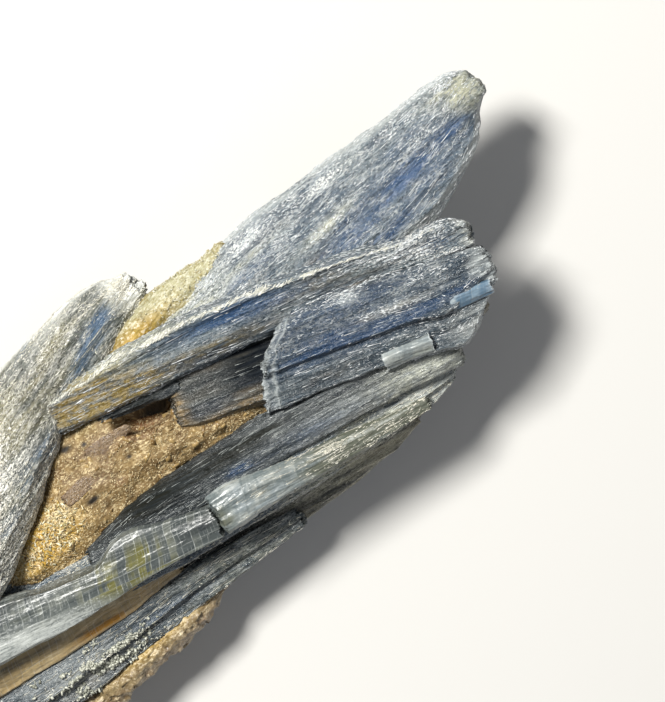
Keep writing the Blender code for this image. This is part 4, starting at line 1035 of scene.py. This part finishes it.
pocketMatrix = {
    "node": "pocket_matrix", "slot": "matrix", "material": pocketGrains, "root": (-25, -1, 9.2),
    "heading": 0, "pitch": 1.5, "roll": 4, "top": domedTop, "columns": 220, "seed": 1600,
    "stations": [(0, -1.6, 1.2, 4), (4, -3, 3, 6.4), (8, -3.6, 5.5, 7.4), (13, -3, 9.5, 8),
                 (18, -2, 11, 8.2), (24, -1.6, 8.4, 8), (30, -1.8, 4.6, 7.4), (36, -1.6, 1.6, 6)],
    "lumps": 0.22, "nodule": 1.4, "nodules": 0.05, "flakes": 0.045,
    "olive": [(18.2, 10.2, 2.4, 1.0, 1.1), (15.5, 8.7, 1.6, 1.2, 0.8)],
    "plum": [(16.7, 5.7, 2.2, 0.9, 0.8), (12.6, 3.3, 2.4, 1.0, 0.8), (20, 4.2, 2, 0.6, 0.4)],
    "gold": [(7, 1.2, 2.6, 1.9, 1.5), (4, 0, 2.5, 1.6, 1.3)],
    "pale": [(8.4, 2.2, 1.3, 1.1, 1.2), (3, 0.4, 1.5, 1, 0.6)],
    # the dark spots are painted shade in the pit and in small hollows
    "dark": [(12.1, 1.5, 0.8, 0.3, 1.4), (12.7, 7.2, 0.8, 0.35, 1.2), (23.4, 6.6, 2.4, 0.9, 1.3),
             (14.6, 6.6, 0.3, 0.25, 1.2), (17.6, 3.0, 0.3, 0.25, 1.0)],
    "amber": [(20.8, 5.3, 2.6, 1.3, 1.3), (25.6, 5.6, 1.2, 0.8, 0.8), (15.4, 1.4, 1.2, 0.4, 0.5)],
}
pocket = makeFilling("pocketMatrix", pocketMatrix, pocketDip)
yellowCrust = {
    "node": "yellow_crust", "slot": "yellow_crust", "material": yellowGrains, "root": (-3, 11, 12.4),
    "heading": 12, "top": domedTop, "columns": 120, "seed": 1700,
    "stations": [(-3, -1.6, 0.4, 3.4), (2, -2.4, 1.2, 4.8), (6, -2.8, 1.7, 5.2), (9, -2.9, 1.3, 4.8),
                 (12, -2.8, 0.5, 4.2), (15.5, -2.6, -0.1, 3)], "lumps": 0.25, "nodule": 1.1,
    "nodules": 0.12, "flakes": 0.03,
    "pale": [(11.5, -0.6, 4.4, 2.4, 1.4), (7, 0.8, 3.4, 1.1, 1.2), (4, 1.2, 2, 0.6, 0.8)],
    "gold": [(2.5, -0.6, 4, 1.0, 1.0)],
}
yellow = makeFilling("yellowCrust", yellowCrust)
edgeCrust = {
    "node": "edge_crust", "slot": "quartz_crust", "material": honeyGrains, "root": (-20.8, -16.5, 6),
    "heading": 9, "pitch": 1, "roll": 10, "top": domedTop, "columns": 120, "seed": 1800,
    "stations": [(-7, -1, 1.2, 2.2), (-3, -1.5, 1.6, 4), (2, -1.5, 1.6, 5), (6, -1.4, 1.5, 5),
                 (10, -1.5, 1.2, 4.6), (12.7, -0.9, 1, 3.6), (13.6, -0.4, 0.6, 2)], "lumps": 0.3,
    "nodule": 1.0, "nodules": 0.26, "flakes": 0.03, "notch": 0.55, "gold": [(6, 0.8, 6, 0.5, 1.2)],
    "rose": [(6, -1, 8, 0.6, 0.7)],
}
makeFilling("edgeCrust", edgeCrust)
print("matrix and crusts made")


# strands of cleaved kyanite 0.05 to 0.09 mm thick, coarser than real ones, as much as a pixel of the
# render asks for; the felted ones swirl more, and the lines are single long cleavage edges
strandLook = {"yaw": 16, "swirl": 12, "tilt": (-3, 4), "length": (0.1, 0.45), "width": (0.05, 0.09),
              "flatness": (0.5, 1), "sides": 3}
feltLook = {**strandLook, "yaw": 28, "swirl": 42, "tilt": (-3, 8), "length": (0.14, 0.5)}
lineLook = {**strandLook, "yaw": 2.5, "swirl": 4, "tilt": (-1, 1), "length": (0.8, 2.6),
            "width": (0.035, 0.06)}
crestLook = {"yaw": 17, "swirl": 20, "tilt": (0, 30), "length": (0.25, 0.9), "width": (0.05, 0.12),
             "flatness": (0.4, 0.9)}
flakeLook = {"yaw": 80, "tilt": (-30, 50), "length": (0.1, 0.32), "width": (0.05, 0.11),
             "flatness": (0.3, 0.7), "sides": 3}
bladeletLook = {"yaw": 70, "tilt": (-10, 60), "length": (0.25, 0.85), "width": (0.08, 0.24),
                "flatness": (0.25, 0.5)}
plateLook = {"yaw": 60, "tilt": (-6, 18), "length": (0.4, 1.2), "width": (0.25, 0.7),
             "flatness": (0.1, 0.2)}
blockLook = {"yaw": 90, "tilt": (-60, 60), "length": (0.25, 0.75), "width": (0.22, 0.6),
             "flatness": (0.6, 1)}
crumbLook = {**blockLook, "length": (0.15, 0.5), "width": (0.12, 0.35)}
grainLook = {**blockLook, "length": (0.12, 0.3), "width": (0.08, 0.2)}

# the white crest of the ridge blade: a ragged line that fades along the blade
ridgeGrid = ridge[0]
ridgeAlong = ridgeGrid["along"]
ragged = 0.88 + 0.03 * fibreNoise(ridgeAlong, 0 * ridgeAlong, 4, 1, 2060, 3)
ridgeLine = np.exp(-((ridgeGrid["share"] - ragged) / 0.022) ** 2) * ridgeGrid["onTop"]
ridgeClumps = fibreNoise(ridgeAlong, 0 * ridgeAlong, 2.4, 1, 2070, 3)
ridgeLine = ridgeLine * (0.12 + smoothStep(-0.2, 0.5, ridgeClumps))
ridgeLine = ridgeLine * smoothStep(45, 12, ridgeAlong)
scatterShards("ridgeSplinters", ridge, ridgeLine, 1300, crestLook, whiteSplinters, 11)

# strands and lines on each blade: how many, how they lie and what they are made of
strandRows = {
    "upper": {"on": upper, "strands": 5200, "lines": 300, "look": strandLook, "material": silverStrands},
    "left": {"on": left, "strands": 6200, "lines": 160, "look": feltLook, "material": creamStrands},
    "ridge": {"on": ridge, "strands": 1700, "lines": 260, "look": strandLook, "material": silverStrands},
    "broken": {"on": broken, "strands": 1500, "lines": 100, "look": strandLook, "material": silverStrands},
    "recessed": {"on": recessed, "strands": 80, "lines": 110, "look": strandLook, "material": greyStrands},
    "dark": {"on": darkOne, "strands": 500, "lines": 260, "look": strandLook, "material": greyStrands},
    "lower": {"on": lower, "strands": 2200, "lines": 160, "look": strandLook, "material": creamStrands},
    "outer": {"on": outer, "strands": 600, "lines": 120, "look": strandLook, "material": creamStrands},
    "bottom": {"on": bottom, "strands": 700, "lines": 200, "look": feltLook, "material": creamStrands},
    "stub": {"on": stub, "strands": 900, "lines": 120, "look": strandLook, "material": creamStrands,
             "start": (6, 13), "lineMargin": 6},
}
clumpSeed, strandSeed, lineSeed = 2000, 30, 50
for number, (label, row) in enumerate(strandRows.items()):
    grid, relief, fields = row["on"]
    fromEnds = np.minimum(grid["fromRoot"], grid["fromTip"])
    clumps = smoothStep(-0.6, 0.7, fibreNoise(grid["along"], grid["arc"], 3.4, 0.7, clumpSeed + number, 3))
    weight = (0.12 + np.clip(fields["frostAndHighlight"], 0, 1.6) ** 1.5) * (0.08 + clumps**1.5) * grid["onTop"]
    weight = weight * np.clip(1 - 0.9 * fields["glassy"], 0.06, 1) * smoothStep(-0.2, 0.3, fromEnds)
    weight = weight * np.clip(1 - 0.6 * fields["blue"], 0.2, 1) * np.clip(1 - 0.8 * fields["dark"], 0.1, 1)
    weight = weight * np.clip(1 - 0.45 * fields["stain"], 0.25, 1)
    if "start" in row:
        weight = weight * smoothStep(*row["start"], grid["along"])
    scatterShards(label + "Strands", row["on"], weight, row["strands"], row["look"], row["material"],
                  strandSeed + number)
    inner = smoothStep(1.2, row.get("lineMargin", 3.2), fromEnds)
    inner = inner * smoothStep(0.5, 0.4, np.abs(grid["share"] - 0.5)) * grid["onTop"] * (0.1 + clumps)
    scatterShards(label + "Lines", row["on"], inner, row["lines"], lineLook, row["material"],
                  lineSeed + number)

# mica flakes, plates and crystals in the pocket, crumbs on the bottom blade and grains on the crust
pocketGrid, bottomGrid, yellowGrid = pocket[0], bottom[0], yellow[0]
openPocket = pocketGrid["onTop"] * (1.02 - np.clip(pocket[2]["dark"], 0, 1))
crystalSpots = spotField([(8.4, 2.0, 1.4, 1.1, 1), (7, 0.2, 1.6, 1.2, 0.7), (3.4, 0.2, 1.4, 1, 0.5)],
                         pocketGrid["along"], pocketGrid["across"]) * pocketGrid["onTop"]
crumbSpots = spotField([(4.5, 1.4, 4, 1.6, 1)], bottomGrid["along"],
                       bottomGrid["across"]) * bottomGrid["onTop"]
crumbClumps = fibreNoise(bottomGrid["along"], bottomGrid["arc"], 1.6, 0.9, 2050, 2)
crumbSpots = crumbSpots * smoothStep(-0.1, 0.5, crumbClumps)
topCrust = smoothStep(3, 10, yellowGrid["along"]) * yellowGrid["onTop"] + 0.02
scatterShards("pocketFlakes", pocket, openPocket, 8500, flakeLook, tanFlakes, 15)
scatterShards("pocketPlates", pocket, openPocket, 160, plateLook, brownPlates, 18)
scatterShards("pocketCrystals", pocket, crystalSpots, 320, bladeletLook, goldGrains, 17)
scatterShards("pocketCrumbs", pocket, crystalSpots, 150, bladeletLook, paleGrains, 20)
scatterShards("bottomCrumbs", bottom, crumbSpots, 700, crumbLook, greyGrains, 19)
scatterShards("yellowGrains", yellow, topCrust, 420, grainLook, paleGrains, 16)

# two stained plates of kyanite in the matrix: place, heading and size, and how deep they are sunk
plumPlaces = {"plumChipUpper": (-10.8, 4.2, -1, 1.1), "plumChipLower": (-15.4, 1.6, 8, 1.1)}
plumSunk = 0.42
for number, (pieceName, (x, y, heading, size)) in enumerate(plumPlaces.items()):
    z = heightAt(pocket, x + 2 * size, y) - plumSunk
    spec = {"slot": "kyanite", "material": plumKyanite, "root": (x, y, z), "heading": heading, "pitch": 3,
            "roll": 12 - 9 * number, "top": flatTop, "columns": 60,
            "stations": [(0, -0.6 * size, 0.7 * size, 0.7), (1.2 * size, -0.8 * size, 0.8 * size, 1.0),
                         (3.4 * size, -0.7 * size, 0.7 * size, 0.9),
                         (4.4 * size, -0.3 * size, 0.5 * size, 0.5)],
            "seed": 1940 + number, "rowStep": 0.08, "steps": 0.08, "cuts": 0.04, "fibres": 0.02,
            "flakes": 0.02, "rootJag": 0.2, "tipJag": 0.2, "rim": 0.5, "softness": 0.3, "notch": 0.1}
    makeBlade(pieceName, spec)
print("slivers, strands and flakes made")

# a plain pale paper floor, matt
floorLook = {"side": 1.6, "colour": "#cfcecb"}
half = floorLook["side"] / 2
floorMesh = bpy.data.meshes.new("floor")
floorMesh.from_pydata([(-half, -half, 0), (half, -half, 0), (half, half, 0), (-half, half, 0)], [],
                      [(0, 1, 2, 3)])
floor = bpy.data.objects.new("floor", floorMesh)
bpy.context.scene.collection.objects.link(floor)
paper, _, paperShader = startMaterial("mattPaper", 0.9, 1.45)
paperShader.inputs["Base Color"].default_value = fromHex(floorLook["colour"])
floorMesh.materials.append(paper)

aim = Vector((0, 0, 0.01))  # the lamps look at the middle of the specimen
lights = {
    "key": {"place": (-0.08, 0.22, 0.42), "size": 0.11, "power": 3.9, "colour": "#fffdf8"},
    "fill": {"place": (0.30, -0.20, 0.40), "size": 0.35, "power": 0.4, "colour": "#f2f6ff"},
}
for name, look in lights.items():
    lamp = bpy.data.lights.new(name, "AREA")
    lamp.energy = look["power"]
    lamp.size = look["size"]
    lamp.color = fromHex(look["colour"])[:3]
    light = bpy.data.objects.new(name, lamp)
    light.location = look["place"]
    light.rotation_euler = (aim - Vector(look["place"])).to_track_quat("-Z", "Y").to_euler()
    bpy.context.scene.collection.objects.link(light)
world = bpy.data.worlds.new("studio")
world.use_nodes = True
world.node_tree.nodes["Background"].inputs["Color"].default_value = fromHex("#f4f5f7")
world.node_tree.nodes["Background"].inputs["Strength"].default_value = 0.16
bpy.context.scene.world = world

# the photograph's view: straight down, 0.1 mm to a pixel at the height of the upper faces
view = {"centre": (17.23, -1.04), "height": 415, "above": 400, "tall": 70.2, "turn": -35, "sensor": 36}
camera = bpy.data.objects.new("camera", bpy.data.cameras.new("camera"))
camera.data.sensor_width = view["sensor"]
camera.data.lens = view["sensor"] * view["above"] / view["tall"]
camera.data.clip_start = 0.01
camera.location = (view["centre"][0] * mm, view["centre"][1] * mm, view["height"] * mm)
camera.rotation_euler = (0, 0, math.radians(view["turn"]))
bpy.context.scene.collection.objects.link(camera)
bpy.context.scene.camera = camera
bpy.context.scene.view_settings.view_transform = "Standard"
print("camera and light placed")
